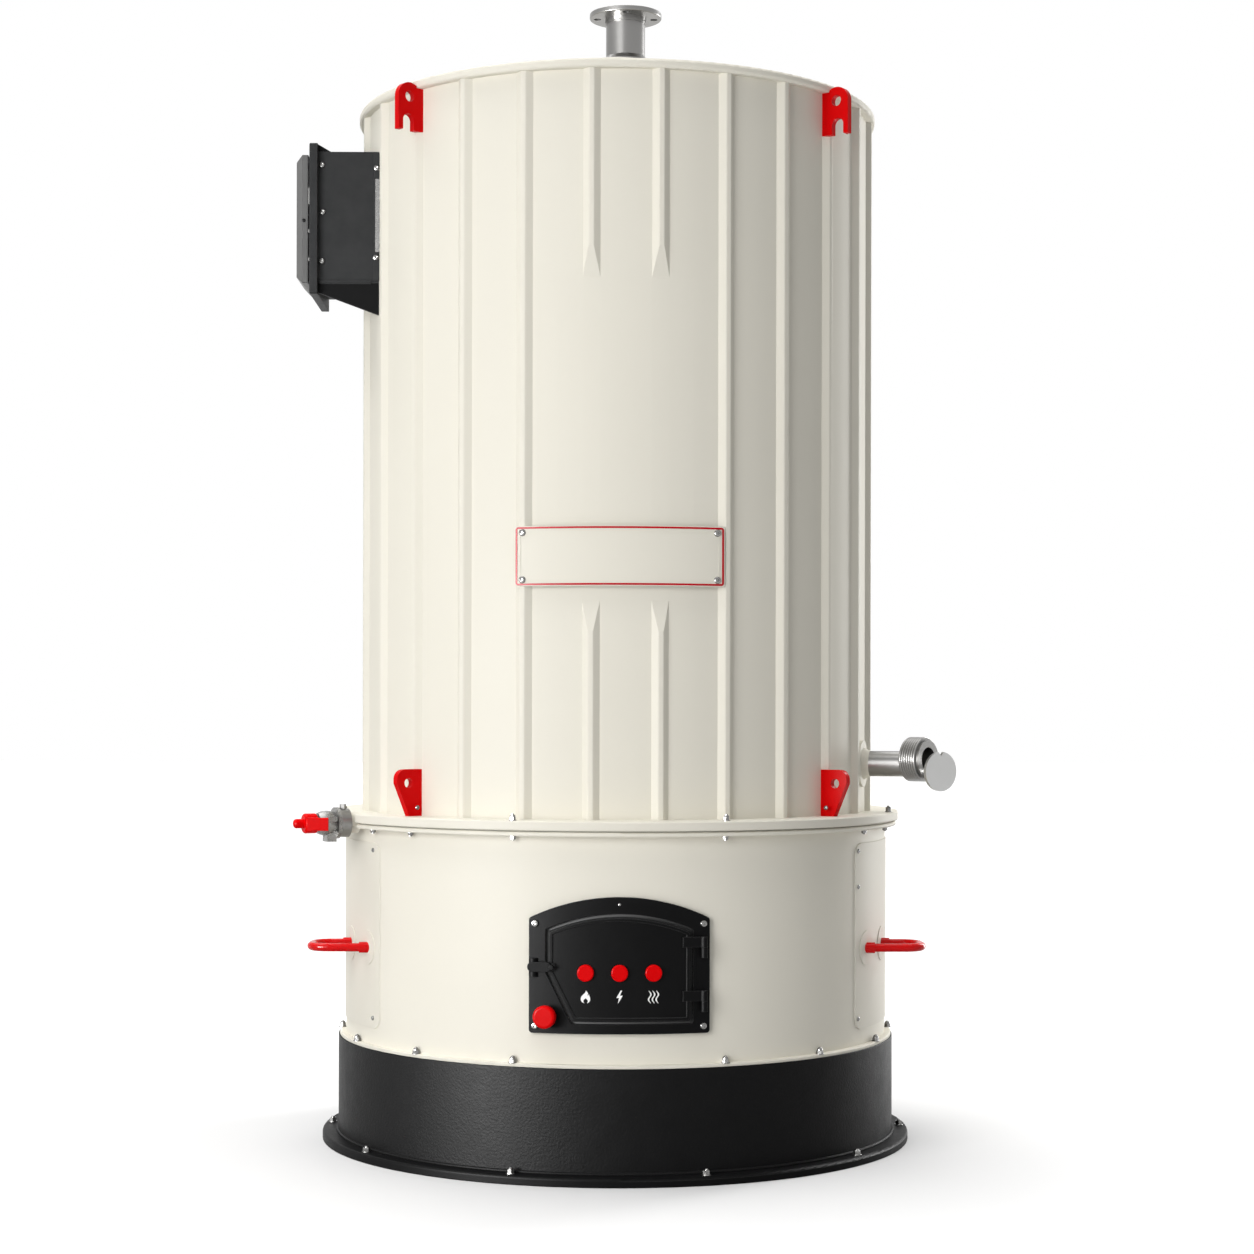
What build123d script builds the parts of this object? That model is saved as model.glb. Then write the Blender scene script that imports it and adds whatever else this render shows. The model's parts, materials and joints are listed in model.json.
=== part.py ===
from build123d import *
import os
from math import acos, asin, cos, degrees, radians, sin, sqrt

# Vertical industrial boiler, millimetres, +Z up.
# The origin is the centre of the base flange on the floor and the fire door faces -Y.
# Angles are read from the front (-Y) and grow towards +X.

# Shared values
clearance = 0.3
overrun = 5.0
moving_gap = 5.0
full_turn = 360.0
quarter_turn = 90.0

# Firebox drum, whose radius drives every other round piece
drum_radius = 522.0
drum_wall = 8.0
drum_height = 397.0
drum_side_angle = 60.0
drum_back_angle = 120.0
hearth_overhang = 12.0
hearth_thickness = 6.0
hearth_round = 2.0
top_ring_overhang = 21.0
top_ring_thickness = 8.0
top_ring_width = 60.0
gasket_inset = 5.0
gasket_thickness = 2.0
tube_plate_overhang = 25.0
tube_plate_thickness = 17.0
plate_round = 2.5

# Base flange and skirt
skirt_overhang = 14.5
skirt_wall = 8.0
skirt_height = 184.0
skirt_round = 1.5
base_flange_overhang = 30.5
base_flange_height = 16.0
base_flange_width = 70.0
base_flange_round = 5.0
anchor_inset = 15.0
anchor_hole_radius = 7.0
anchor_count = 10
anchor_turn = 16.0

# Ribbed jacket
jacket_step = 37.0
jacket_wall = 6.0
jacket_height = 1320.0
jacket_panel_names = ("front", "front_right", "rear_right", "rear_left", "front_left")
rib_count = 25
rib_turn = -6.0
rib_height = 10.0
rib_base_width = 31.0
rib_crest_width = 9.0
rib_round = 5.0
plain_zone_start_share = 0.2924
plain_zone_share = 0.4303
plain_zone_ribs = 2
rib_runout = 55.0

# Lid and steam nozzle
lid_overhang = 5.0
lid_thickness = 16.0
lid_round = 5.0
lid_width = 70.0
crown_foot_inset = 30.0
crown_top_radius = 85.0
crown_height = 109.0
crown_wall = 8.0
nozzle_shift = 16.0
nozzle_radius = 38.05
nozzle_wall = 3.6
nozzle_height = 95.0
nozzle_foot_radius = 46.0
nozzle_foot_height = 12.0
nozzle_foot_taper = 9.0
nozzle_collar_radius = 40.0
nozzle_collar_height = 10.0
steam_flange_radius = 70.0
steam_flange_thickness = 10.0
steam_flange_round = 2.0
steam_bolt_circle_radius = 55.0
steam_bolt_hole_radius = 7.0
steam_bolt_count = 4

# Lifting lugs
lug_thickness = 12.0
lug_reach = 55.0
lug_round = 2.5
lug_ribs = (-3, 4, 10, -9)
upper_lug_drop = 78.0
upper_lug_eye_radius = 10.0
upper_lug_inner_leg = 21.0
upper_lug_outer_leg = 10.0
upper_lug_notch_height = 29.0
lower_lug_height = 85.0
lower_lug_foot = 28.0
lower_lug_side_height = 60.0
lower_lug_corner = 18.0
lower_lug_eye_radius = 9.0
lower_lug_eye_inset = 25.0
lower_lug_eye_drop = 25.0

# Control box
box_drop = 205.0
box_shift = 90.0
box_width = 190.0
box_height = 246.0
box_standoff = 68.0
box_frame_width = 220.0
box_frame_height = 282.0
box_frame_lift = -4.0
box_frame_thickness = 15.0
box_frame_round = 5.0
box_cover_width = 160.0
box_cover_height = 240.0
box_cover_depth = 23.0
box_cover_bevel = 12.0
box_neck_margin = 12.0
box_neck_depth = 5.0
box_bracket_thickness = 6.0
box_bracket_drop = 64.0
box_bracket_lip = 18.0
box_gusset_height = 14.0
box_gusset_length = 24.0

# Access panels and carrying handles
panel_half_angle = 33.5
panel_thickness = 1.5
panel_bottom_margin = 29.0
panel_top_margin = 25.0
panel_corner = 22.0
handle_rise = 148.0
handle_bar_radius = 7.75
handle_standoff = 47.0
handle_front_share = 0.4732
handle_span = 90.0
handle_bend = 34.0
handle_ferrule_radius = 10.0
handle_ferrule_length = 14.0
handle_pad_radius = 32.0
handle_pad_thickness = 1.5

# Fire door
frame_half_width = 158.0
frame_sill = 54.0
frame_side_height = 200.0
frame_rise = 38.0
frame_thickness = 9.0
frame_corner = 6.0
door_side_margin = 34.0
door_sill = 22.0
door_side_height = 156.0
door_rise = 26.0
door_cut_width = 43.0
door_cut_height = 86.0
door_corner = 5.0
door_thickness = 10.0
door_bead_inset = 2.0
door_bead_width = 5.0
door_bead_height = 2.0
doorway_side_margin = 14.0
doorway_sill = 10.0
doorway_top_margin = 8.0
hinge_reach = 24.0
hinge_barrel_radius = 6.0
hinge_pin_radius = 3.0
hinge_rises = (16.0, 110.0)
hinge_length = 37.0
hinge_strap_thickness = 4.0
hinge_strap_length = 38.0
hinge_tab_width = 8.0

# Door latch and push buttons
latch_inset = 7.0
latch_rise = 95.0
latch_length = 42.0
latch_width = 17.0
latch_thickness = 7.0
latch_pin_radius = 4.0
latch_boss_radius = 7.0
keeper_radius = 8.5
keeper_length = 33.0
keeper_reach = 26.0
keeper_drop = 2.5
keeper_proud = 7.0
button_spacing = 59.0
button_rise = 85.0
button_radius = 14.75
button_proud = 6.0
button_seat = 3.5
button_round = 2.5
button_pocket_depth = 8.0
button_gap = 0.5
stop_reach = 2.0
stop_rise = 30.5
stop_head_radius = 20.0
stop_head_depth = 13.0
stop_head_round = 5.0
stop_collar_radius = 15.0
stop_collar_depth = 9.0
stop_stem_radius = 9.0
stop_stem_seat = 4.0

# Drain valve
drain_angle = -64.8
drain_boss_radius = 20.0
drain_boss_length = 6.0
drain_boss_root = 12.0
drain_union_radius = 26.5
drain_union_length = 19.0
drain_collar_radius = 29.0
drain_collar_length = 7.0
drain_nut_radius = 6.0
drain_nut_height = 8.0
valve_body_radius = 19.0
valve_ball_radius = 23.0
valve_length = 33.0
valve_foot_width = 26.0
valve_foot_length = 18.0
valve_foot_drop = 34.0
valve_stem_radius = 7.0
valve_stem_length = 10.0
valve_hub_gap = 2.0
valve_hub_radius = 18.5
valve_hub_length = 25.0
valve_hub_round = 4.0
valve_knob_radius = 8.8
valve_knob_length = 19.0
valve_knob_round = 6.0
valve_blade_offset = 38.0
valve_blade_width = 24.0
valve_blade_thickness = 8.0
valve_blade_length = 38.0
valve_arm_thickness = 10.0
valve_blade_angle = -28.0

# Water outlet
outlet_angle = 73.2
outlet_rise = 92.0
outlet_pad_radius = 44.0
outlet_pad_thickness = 5.0
outlet_flare_radius = 33.0
outlet_flare_length = 12.0
outlet_pipe_radius = 24.15
outlet_pipe_wall = 3.2
outlet_pipe_reach = 93.0
union_angle = 50.0
union_lift = 9.0
union_radius = 42.0
union_groove_depth = 2.0
union_ring_count = 7
union_ring_pitch = 5.0
union_back = 6.0
union_bore_radius = 23.0
union_lip_length = 5.0
union_lip_radius = 36.0
cap_angle = 32.0
cap_disc_radius = 37.0
cap_disc_thickness = 6.0
cap_disc_shift = 6.5
cap_disc_stand = 29.5
cap_disc_drop = 22.0
cap_neck_radius = 14.0
cap_neck_length = 42.0
cap_notch_width = 14.0
cap_notch_depth = 8.0

# Name plate
plate_width_share = 0.7107
plate_height = 106.0
plate_height_share = 0.3515
plate_thickness = 2.0
plate_corner = 4.0

# Levels from the floor up
skirt_bottom = base_flange_height
hearth_bottom = skirt_bottom + skirt_height
drum_bottom = hearth_bottom + hearth_thickness
drum_top = drum_bottom + drum_height
gasket_bottom = drum_top + top_ring_thickness
tube_plate_bottom = gasket_bottom + gasket_thickness
jacket_bottom = tube_plate_bottom + tube_plate_thickness
jacket_top = jacket_bottom + jacket_height
lid_top = jacket_top + lid_thickness
crown_top = lid_top + crown_height
nozzle_top = crown_top + nozzle_height
plain_bottom = jacket_bottom + jacket_height * plain_zone_start_share
plain_top = plain_bottom + jacket_height * plain_zone_share
box_centre_height = jacket_top - box_drop
plate_centre_height = jacket_bottom + jacket_height * plate_height_share
outlet_height = jacket_bottom + outlet_rise
drain_height = tube_plate_bottom
panel_bottom = drum_bottom + panel_bottom_margin
panel_height = drum_height - panel_bottom_margin - panel_top_margin
handle_height = panel_bottom + handle_rise
frame_bottom = drum_bottom + frame_sill
frame_height = frame_side_height + frame_rise
door_bottom = frame_bottom + door_sill
doorway_bottom = door_bottom + doorway_sill
doorway_top = door_bottom + door_side_height - doorway_top_margin
hinge_bottoms = [door_bottom + hinge_rise for hinge_rise in hinge_rises]
latch_height = door_bottom + latch_rise
keeper_height = latch_height - keeper_drop
button_height = door_bottom + button_rise
stop_height = frame_bottom + stop_rise

# Radii and reaches from the drum outward
skirt_radius = drum_radius + skirt_overhang
base_flange_radius = skirt_radius + base_flange_overhang
anchor_circle_radius = base_flange_radius - anchor_inset
hearth_radius = drum_radius + hearth_overhang
top_ring_radius = drum_radius + top_ring_overhang
gasket_radius = top_ring_radius - gasket_inset
tube_plate_radius = drum_radius + tube_plate_overhang
jacket_radius = drum_radius - jacket_step
rib_radius = jacket_radius + rib_height
rib_pitch = full_turn / rib_count
lid_radius = rib_radius + lid_overhang
crown_foot_radius = lid_radius - crown_foot_inset
box_reach = rib_radius + box_standoff
panel_radius = drum_radius + clearance + panel_thickness
pad_radius = panel_radius + handle_pad_thickness
handle_reach = drum_radius + handle_standoff
handle_front = drum_radius * handle_front_share
frame_radius = drum_radius + frame_thickness
door_back_radius = drum_radius + moving_gap
door_radius = door_back_radius + door_thickness
outlet_pipe_end = jacket_radius + outlet_pipe_reach
plate_width = drum_radius * plate_width_share

# Places across the fire door
door_half_width = frame_half_width - door_side_margin
doorway_half_width = door_half_width - doorway_side_margin
hinge_x = door_half_width + hinge_reach
latch_pivot_x = latch_inset - door_half_width
keeper_x = -door_half_width - keeper_reach
stop_x = -door_half_width - stop_reach


# Shared helpers


def outward(angle):
    """Unit vector that points away from the axis at an angle from the front."""
    return Vector(sin(radians(angle)), -cos(radians(angle)), 0)


def sideways(angle):
    """Unit vector along the round wall, towards growing angles."""
    return Vector(cos(radians(angle)), sin(radians(angle)), 0)


def wall_plane(angle, radius, height):
    """Plane on the round wall: x along the wall, y up, normal outward."""
    place = outward(angle) * radius + Vector(0, 0, height)
    return Plane(origin=place, x_dir=sideways(angle), z_dir=outward(angle))


def section_plane(angle):
    """Upright plane through the axis: x is the radius, y is the height."""
    return Plane(origin=(0, 0, 0), x_dir=outward(angle), z_dir=-sideways(angle))


def sector(inner, outer, start, end, bottom, height, mode=Mode.ADD):
    """Upright piece of a round wall between two angles from the front."""
    with BuildSketch(Plane.XY.offset(bottom)) as outline:
        with BuildLine():
            CenterArc((0, 0), outer, start - quarter_turn, end - start)
            CenterArc((0, 0), inner, start - quarter_turn, end - start)
            Line(outward(start) * inner, outward(start) * outer)
            Line(outward(end) * inner, outward(end) * outer)
        make_face()
    extrude(outline.sketch, amount=height, mode=mode)


def ring(inner, outer, bottom, height, mode=Mode.ADD):
    """Round plate with a round opening."""
    with BuildSketch(Plane.XY.offset(bottom)) as outline:
        Circle(outer)
        Circle(inner, mode=Mode.SUBTRACT)
    extrude(outline.sketch, amount=height, mode=mode)


def widest_edges(builder):
    """The largest round edges of a piece."""
    return builder.edges().filter_by(GeomType.CIRCLE).group_by(SortBy.RADIUS)[-1]


def save(builder, name):
    """Label a finished piece and write it."""
    builder.part.label = name
    export_step(builder.part, f"parts/{name}.step")


os.makedirs("parts", exist_ok=True)


# Base

with BuildPart() as base_flange:
    ring(base_flange_radius - base_flange_width, base_flange_radius, 0, base_flange_height)
    fillet(widest_edges(base_flange).sort_by(Axis.Z)[-1], base_flange_round)
    with Locations(Plane.XY.offset(base_flange_height)):
        with PolarLocations(anchor_circle_radius, anchor_count, anchor_turn - quarter_turn):
            Hole(anchor_hole_radius, base_flange_height)
save(base_flange, "base_flange")

with BuildPart() as base_skirt:
    ring(skirt_radius - skirt_wall, skirt_radius, skirt_bottom, skirt_height)
    fillet(widest_edges(base_skirt).sort_by(Axis.Z)[-1], skirt_round)
save(base_skirt, "base_skirt")


# Firebox drum

with BuildPart() as hearth_plate:
    with BuildSketch(Plane.XY.offset(hearth_bottom)):
        Circle(hearth_radius)
    extrude(amount=hearth_thickness)
    fillet(hearth_plate.edges().group_by(Axis.Z)[-1], hearth_round)
save(hearth_plate, "hearth_plate")

doorway_angle = degrees(asin(doorway_half_width / drum_radius))
drum_inner_radius = drum_radius - drum_wall
drum_bays = {
    "drum_front_left": (-drum_side_angle, -doorway_angle),
    "drum_front_right": (doorway_angle, drum_side_angle),
    "drum_left": (-drum_back_angle, -drum_side_angle),
    "drum_right": (drum_side_angle, drum_back_angle),
    "drum_rear_left": (drum_back_angle, full_turn / 2),
    "drum_rear_right": (full_turn / 2, full_turn - drum_back_angle),
}
for bay_name, (bay_start, bay_end) in drum_bays.items():
    with BuildPart() as drum_bay:
        sector(drum_inner_radius, drum_radius, bay_start, bay_end, drum_bottom, drum_height)
    save(drum_bay, bay_name)

with BuildPart() as drum_under_door:
    sill = doorway_bottom - drum_bottom
    sector(drum_inner_radius, drum_radius, -doorway_angle, doorway_angle, drum_bottom, sill)
save(drum_under_door, "drum_under_door")

with BuildPart() as drum_over_door:
    head = drum_top - doorway_top
    sector(drum_inner_radius, drum_radius, -doorway_angle, doorway_angle, doorway_top, head)
save(drum_over_door, "drum_over_door")

with BuildPart() as drum_top_ring:
    ring(top_ring_radius - top_ring_width, top_ring_radius, drum_top, top_ring_thickness)
    fillet(widest_edges(drum_top_ring), plate_round)
save(drum_top_ring, "drum_top_ring")

with BuildPart() as flange_gasket:
    ring(top_ring_radius - top_ring_width, gasket_radius, gasket_bottom, gasket_thickness)
save(flange_gasket, "flange_gasket")

with BuildPart() as tube_plate:
    with BuildSketch(Plane.XY.offset(tube_plate_bottom)):
        Circle(tube_plate_radius)
    extrude(amount=tube_plate_thickness)
    fillet(tube_plate.edges(), plate_round)
save(tube_plate, "tube_plate")


# Ribbed jacket

with BuildSketch() as rib_section:
    rib_flank_radius = sqrt(jacket_radius**2 - (rib_base_width / 2) ** 2)
    with BuildLine():
        Polyline(
            (jacket_radius - rib_height, rib_base_width / 2),
            (rib_flank_radius, rib_base_width / 2),
            (rib_radius, rib_crest_width / 2),
            (rib_radius, -rib_crest_width / 2),
            (rib_flank_radius, -rib_base_width / 2),
            (jacket_radius - rib_height, -rib_base_width / 2),
            close=True,
        )
    make_face()
    fillet(rib_section.vertices().group_by(Axis.X)[-1], rib_round)

with BuildPart() as jacket_form:
    with BuildSketch(Plane.XY.offset(jacket_bottom)):
        Circle(jacket_radius)
        with PolarLocations(0, rib_count, rib_turn - quarter_turn):
            add(rib_section.sketch)
    extrude(amount=jacket_height)
    # The ribs in front fade out above and below a plain field.
    with BuildSketch(section_plane(rib_turn - rib_pitch / 2)):
        with BuildLine():
            Polyline(
                (jacket_radius, plain_bottom),
                (jacket_radius, plain_top),
                (rib_radius + rib_height, plain_top + rib_runout * 2),
                (rib_radius + rib_height, plain_bottom - rib_runout * 2),
                close=True,
            )
        make_face()
    revolve(axis=Axis.Z, revolution_arc=rib_pitch * plain_zone_ribs, mode=Mode.SUBTRACT)

panel_turn = full_turn / len(jacket_panel_names)
first_seam = rib_turn + (rib_pitch - panel_turn) / 2
for panel_number, panel_name in enumerate(jacket_panel_names):
    with BuildPart() as jacket_panel:
        add(jacket_form.part)
        panel_start = first_seam + panel_number * panel_turn
        sector(
            jacket_radius - jacket_wall,
            rib_radius + overrun,
            panel_start,
            panel_start + panel_turn,
            jacket_bottom,
            jacket_height,
            mode=Mode.INTERSECT,
        )
    save(jacket_panel, f"jacket_{panel_name}")


# Lid and steam nozzle

with BuildPart() as lid_rim:
    ring(lid_radius - lid_width, lid_radius, jacket_top, lid_thickness)
    fillet(widest_edges(lid_rim), lid_round)
save(lid_rim, "lid_rim")

nozzle_bore_radius = nozzle_radius - nozzle_wall
nozzle_axis = Axis((nozzle_shift, 0, 0), (0, 0, 1))
nozzle_plane = Plane(origin=(nozzle_shift, 0, 0), x_dir=(1, 0, 0), z_dir=(0, -1, 0))

with BuildPart() as lid_crown:
    with BuildSketch(Plane.XZ):
        with BuildLine():
            Polyline(
                (0, crown_top),
                (crown_top_radius, crown_top),
                (crown_foot_radius, lid_top),
                (crown_foot_radius - lid_width / 2, lid_top),
                (crown_top_radius, crown_top - crown_wall),
                (0, crown_top - crown_wall),
                close=True,
            )
        make_face()
    revolve(axis=Axis.Z)
    with Locations((nozzle_shift, 0, crown_top)):
        Hole(nozzle_bore_radius, crown_wall)
save(lid_crown, "lid_crown")

with BuildPart() as nozzle_neck:
    with BuildSketch(nozzle_plane):
        with BuildLine():
            Polyline(
                (nozzle_bore_radius, crown_top),
                (nozzle_foot_radius, crown_top),
                (nozzle_foot_radius, crown_top + nozzle_foot_height),
                (nozzle_radius, crown_top + nozzle_foot_height + nozzle_foot_taper),
                (nozzle_radius, nozzle_top - nozzle_collar_height),
                (nozzle_collar_radius, nozzle_top - nozzle_collar_height),
                (nozzle_collar_radius, nozzle_top),
                (nozzle_bore_radius, nozzle_top),
                close=True,
            )
        make_face()
    revolve(axis=nozzle_axis)
save(nozzle_neck, "nozzle_neck")

with BuildPart() as steam_flange:
    with BuildSketch(Plane.XY.offset(nozzle_top)):
        with Locations((nozzle_shift, 0)):
            Circle(steam_flange_radius)
            Circle(nozzle_bore_radius, mode=Mode.SUBTRACT)
            with PolarLocations(steam_bolt_circle_radius, steam_bolt_count):
                Circle(steam_bolt_hole_radius, mode=Mode.SUBTRACT)
    extrude(amount=steam_flange_thickness)
    fillet(widest_edges(steam_flange), steam_flange_round)
save(steam_flange, "steam_flange")


# Lifting lugs, one plate on the flank of each lug rib that faces the nearer front or rear


def lug_plane(rib_step):
    """Upright plane on the flank of a rib, with its normal pointing into the lug."""
    angle = rib_turn + rib_step * rib_pitch
    faces_front = abs(angle) < quarter_turn
    towards_plus = (angle < 0) == faces_front
    plane = section_plane(angle)
    flank = rib_base_width / 2
    if towards_plus:
        return plane.offset(-flank), 1
    return plane.offset(flank), -1


with BuildPart() as upper_lugs:
    for rib_step in lug_ribs:
        face_plane, into_lug = lug_plane(rib_step)
        lug_outer = jacket_radius + lug_reach
        lug_top = lid_top - lid_thickness / 2
        lug_bottom = lug_top - upper_lug_drop - lid_thickness / 2
        eye_r = lug_outer - lug_reach / 2 + lug_round
        eye_z = lug_top - lug_reach / 2 + lug_round
        notch_inner = jacket_radius + upper_lug_inner_leg
        notch_outer = lug_outer - upper_lug_outer_leg
        notch_spring = lug_bottom + upper_lug_notch_height - (notch_outer - notch_inner) / 2
        head_radius = lug_outer - eye_r
        head_arc = degrees(acos((lid_radius - eye_r) / head_radius))
        head_foot = eye_z + head_radius * sin(radians(head_arc))
        lug_root = jacket_radius - rib_height
        with BuildSketch(face_plane):
            with BuildLine():
                Polyline((lug_root, lug_bottom), (notch_inner, lug_bottom), (notch_inner, notch_spring))
                ThreePointArc(
                    (notch_inner, notch_spring),
                    ((notch_inner + notch_outer) / 2, lug_bottom + upper_lug_notch_height),
                    (notch_outer, notch_spring),
                )
                Polyline(
                    (notch_outer, notch_spring),
                    (notch_outer, lug_bottom),
                    (lug_outer, lug_bottom),
                    (lug_outer, eye_z),
                )
                CenterArc((eye_r, eye_z), head_radius, 0, head_arc)
                Polyline(
                    (lid_radius, head_foot),
                    (lid_radius, jacket_top),
                    (lug_root, jacket_top),
                    (lug_root, lug_bottom),
                )
            make_face()
            with Locations((eye_r, eye_z)):
                Circle(upper_lug_eye_radius, mode=Mode.SUBTRACT)
        extrude(amount=lug_thickness * into_lug)
    add(jacket_form.part, mode=Mode.SUBTRACT)
save(upper_lugs, "upper_lugs")

with BuildPart() as lower_lugs:
    for rib_step in lug_ribs:
        face_plane, into_lug = lug_plane(rib_step)
        lug_outer = jacket_radius + lug_reach
        lug_top = jacket_bottom + lower_lug_height
        with BuildSketch(face_plane) as lug_outline:
            with BuildLine():
                Polyline(
                    (jacket_radius - rib_height, jacket_bottom),
                    (jacket_radius + lower_lug_foot, jacket_bottom),
                    (lug_outer, jacket_bottom + lower_lug_side_height),
                    (lug_outer, lug_top),
                    (jacket_radius - rib_height, lug_top),
                    close=True,
                )
            make_face()
            fillet(lug_outline.vertices().group_by(Axis.Y)[-1].sort_by(Axis.X)[-1], lower_lug_corner)
            with Locations((lug_outer - lower_lug_eye_inset, lug_top - lower_lug_eye_drop)):
                Circle(lower_lug_eye_radius, mode=Mode.SUBTRACT)
        extrude(amount=lug_thickness * into_lug)
    add(jacket_form.part, mode=Mode.SUBTRACT)
save(lower_lugs, "lower_lugs")


# Control box on the left side

box_angle = -quarter_turn
box_front = box_shift + box_width / 2
box_root = sqrt(jacket_radius**2 - box_front**2) - rib_height
box_bottom = box_centre_height - box_height / 2
box_top = box_centre_height + box_height / 2

with BuildPart() as control_box:
    with BuildSketch(wall_plane(box_angle, box_root, box_centre_height)):
        with Locations((box_shift, 0)):
            Rectangle(box_width, box_height)
    extrude(amount=box_reach - box_root)
    add(jacket_form.part, mode=Mode.SUBTRACT)
save(control_box, "control_box")

with BuildPart() as control_box_frame:
    with BuildSketch(wall_plane(box_angle, box_reach, box_centre_height + box_frame_lift)):
        with Locations((box_shift, 0)):
            RectangleRounded(box_frame_width, box_frame_height, box_frame_round)
    extrude(amount=box_frame_thickness)
    fillet(control_box_frame.edges().group_by(Axis.X)[0], box_frame_round / 2)
save(control_box_frame, "control_box_frame")

cover_root = box_reach + box_frame_thickness
with BuildPart() as control_box_cover:
    with BuildSketch(wall_plane(box_angle, cover_root, box_centre_height)):
        with Locations((box_shift, 0)):
            Rectangle(box_cover_width - 2 * box_neck_margin, box_cover_height - 2 * box_neck_margin)
    extrude(amount=box_neck_depth)
    with BuildSketch(wall_plane(box_angle, cover_root + box_neck_depth, box_centre_height)):
        with Locations((box_shift, 0)):
            Rectangle(box_cover_width, box_cover_height)
    extrude(amount=box_cover_depth)
    chamfer(control_box_cover.faces().sort_by(Axis.X)[0].edges(), box_cover_bevel)
save(control_box_cover, "control_box_cover")

with BuildPart() as control_box_brackets:
    # The plate below carries the box and the two small gussets above hold its frame.
    with BuildSketch(Plane.XZ.offset(box_front - box_bracket_thickness / 2)):
        with BuildLine():
            Polyline(
                (-box_reach, box_bottom),
                (-box_root, box_bottom),
                (-box_root, box_bottom - box_bracket_drop),
                (-box_reach, box_bottom - box_bracket_lip),
                close=True,
            )
        make_face()
    extrude(amount=box_bracket_thickness / 2, both=True)
    for side in (-1, 1):
        gusset_shift = box_shift + side * (box_width - box_bracket_thickness) / 2
        with BuildSketch(Plane.XZ.offset(gusset_shift)):
            with BuildLine():
                Polyline(
                    (-box_reach, box_top),
                    (-box_reach, box_top + box_gusset_height),
                    (-box_reach + box_gusset_length, box_top),
                    close=True,
                )
            make_face()
        extrude(amount=box_bracket_thickness / 2, both=True)
    add(jacket_form.part, mode=Mode.SUBTRACT)
save(control_box_brackets, "control_box_brackets")


# Access panels, handle pads and carrying handles

handle_feet = (handle_front, handle_front - handle_span)
for side, side_name in ((-1, "left"), (1, "right")):
    side_angle = side * quarter_turn
    with BuildPart() as access_panel:
        with BuildSketch(wall_plane(side_angle, 0, panel_bottom + panel_height / 2)):
            panel_width = 2 * panel_radius * sin(radians(panel_half_angle))
            RectangleRounded(panel_width, panel_height, panel_corner)
        extrude(amount=panel_radius + overrun)
        ring(drum_radius + clearance, panel_radius, panel_bottom, panel_height, mode=Mode.INTERSECT)
    save(access_panel, f"{side_name}_access_panel")

    with BuildPart() as handle_pads:
        for foot in handle_feet:
            foot_angle = side * degrees(asin(sqrt(1 - (foot / pad_radius) ** 2)))
            with BuildSketch(wall_plane(foot_angle, drum_radius - handle_pad_radius, handle_height)):
                Circle(handle_pad_radius)
            extrude(amount=2 * handle_pad_radius)
        ring(panel_radius, pad_radius, panel_bottom, panel_height, mode=Mode.INTERSECT)
    save(handle_pads, f"{side_name}_handle_pads")

    with BuildPart() as handle:
        handle_root = sqrt(drum_radius**2 - handle_front**2) - handle_bend
        with BuildLine():
            FilletPolyline(
                (side * handle_root, -handle_feet[0], handle_height),
                (side * handle_reach, -handle_feet[0], handle_height),
                (side * handle_reach, -handle_feet[1], handle_height),
                (side * handle_root, -handle_feet[1], handle_height),
                radius=handle_bend,
            )
        with BuildSketch(Plane.YZ.offset(side * handle_root)):
            with Locations((-handle_feet[0], handle_height)):
                Circle(handle_bar_radius)
        sweep()
        for foot in handle_feet:
            ferrule_end = sqrt(pad_radius**2 - foot**2) + handle_ferrule_length
            with BuildSketch(Plane.YZ.offset(side * handle_root)):
                with Locations((-foot, handle_height)):
                    Circle(handle_ferrule_radius)
            extrude(amount=side * (ferrule_end - handle_root))
        with Locations((0, 0, handle_height)):
            Cylinder(pad_radius, 2 * handle_pad_radius, mode=Mode.SUBTRACT)
    save(handle, f"{side_name}_handle")


# Fire door frame


def arched_face(half_width, bottom, side_height, rise):
    """Upright outline with a low arch, drawn on the plane that faces the front."""
    top = bottom + side_height
    with BuildLine() as outline:
        Polyline((-half_width, top), (-half_width, bottom), (half_width, bottom), (half_width, top))
        ThreePointArc((half_width, top), (0, top + rise), (-half_width, top))
    make_face(outline.edges())


def door_face(grow):
    """Door outline with its lower left corner cut off, grown on all sides."""
    top = door_bottom + door_side_height
    with BuildLine() as outline:
        Polyline(
            (-door_half_width, top),
            (-door_half_width, door_bottom + door_cut_height),
            (-door_half_width + door_cut_width, door_bottom),
            (door_half_width, door_bottom),
            (door_half_width, top),
        )
        ThreePointArc((door_half_width, top), (0, top + door_rise), (-door_half_width, top))
    make_face(outline.edges())
    if grow:
        offset(amount=grow, kind=Kind.INTERSECTION)


front_plane = wall_plane(0, 0, 0)

with BuildPart() as door_frame:
    with BuildSketch(front_plane) as frame_outline:
        arched_face(frame_half_width, frame_bottom, frame_side_height, frame_rise)
        fillet(frame_outline.vertices(), frame_corner)
    extrude(amount=frame_radius + overrun)
    ring(drum_radius, frame_radius, frame_bottom, frame_height, mode=Mode.INTERSECT)
    with BuildSketch(front_plane) as frame_opening:
        door_face(moving_gap)
        fillet(frame_opening.vertices(), door_corner)
    extrude(amount=frame_radius + overrun, mode=Mode.SUBTRACT)
save(door_frame, "door_frame")


# Fire door with its bead, button pockets and latch pin

latch_angle = degrees(asin(latch_pivot_x / door_radius))
button_names = ("left_button", "middle_button", "right_button")
button_angles = [degrees(asin(step * button_spacing / door_radius)) for step in (-1, 0, 1)]

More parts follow.
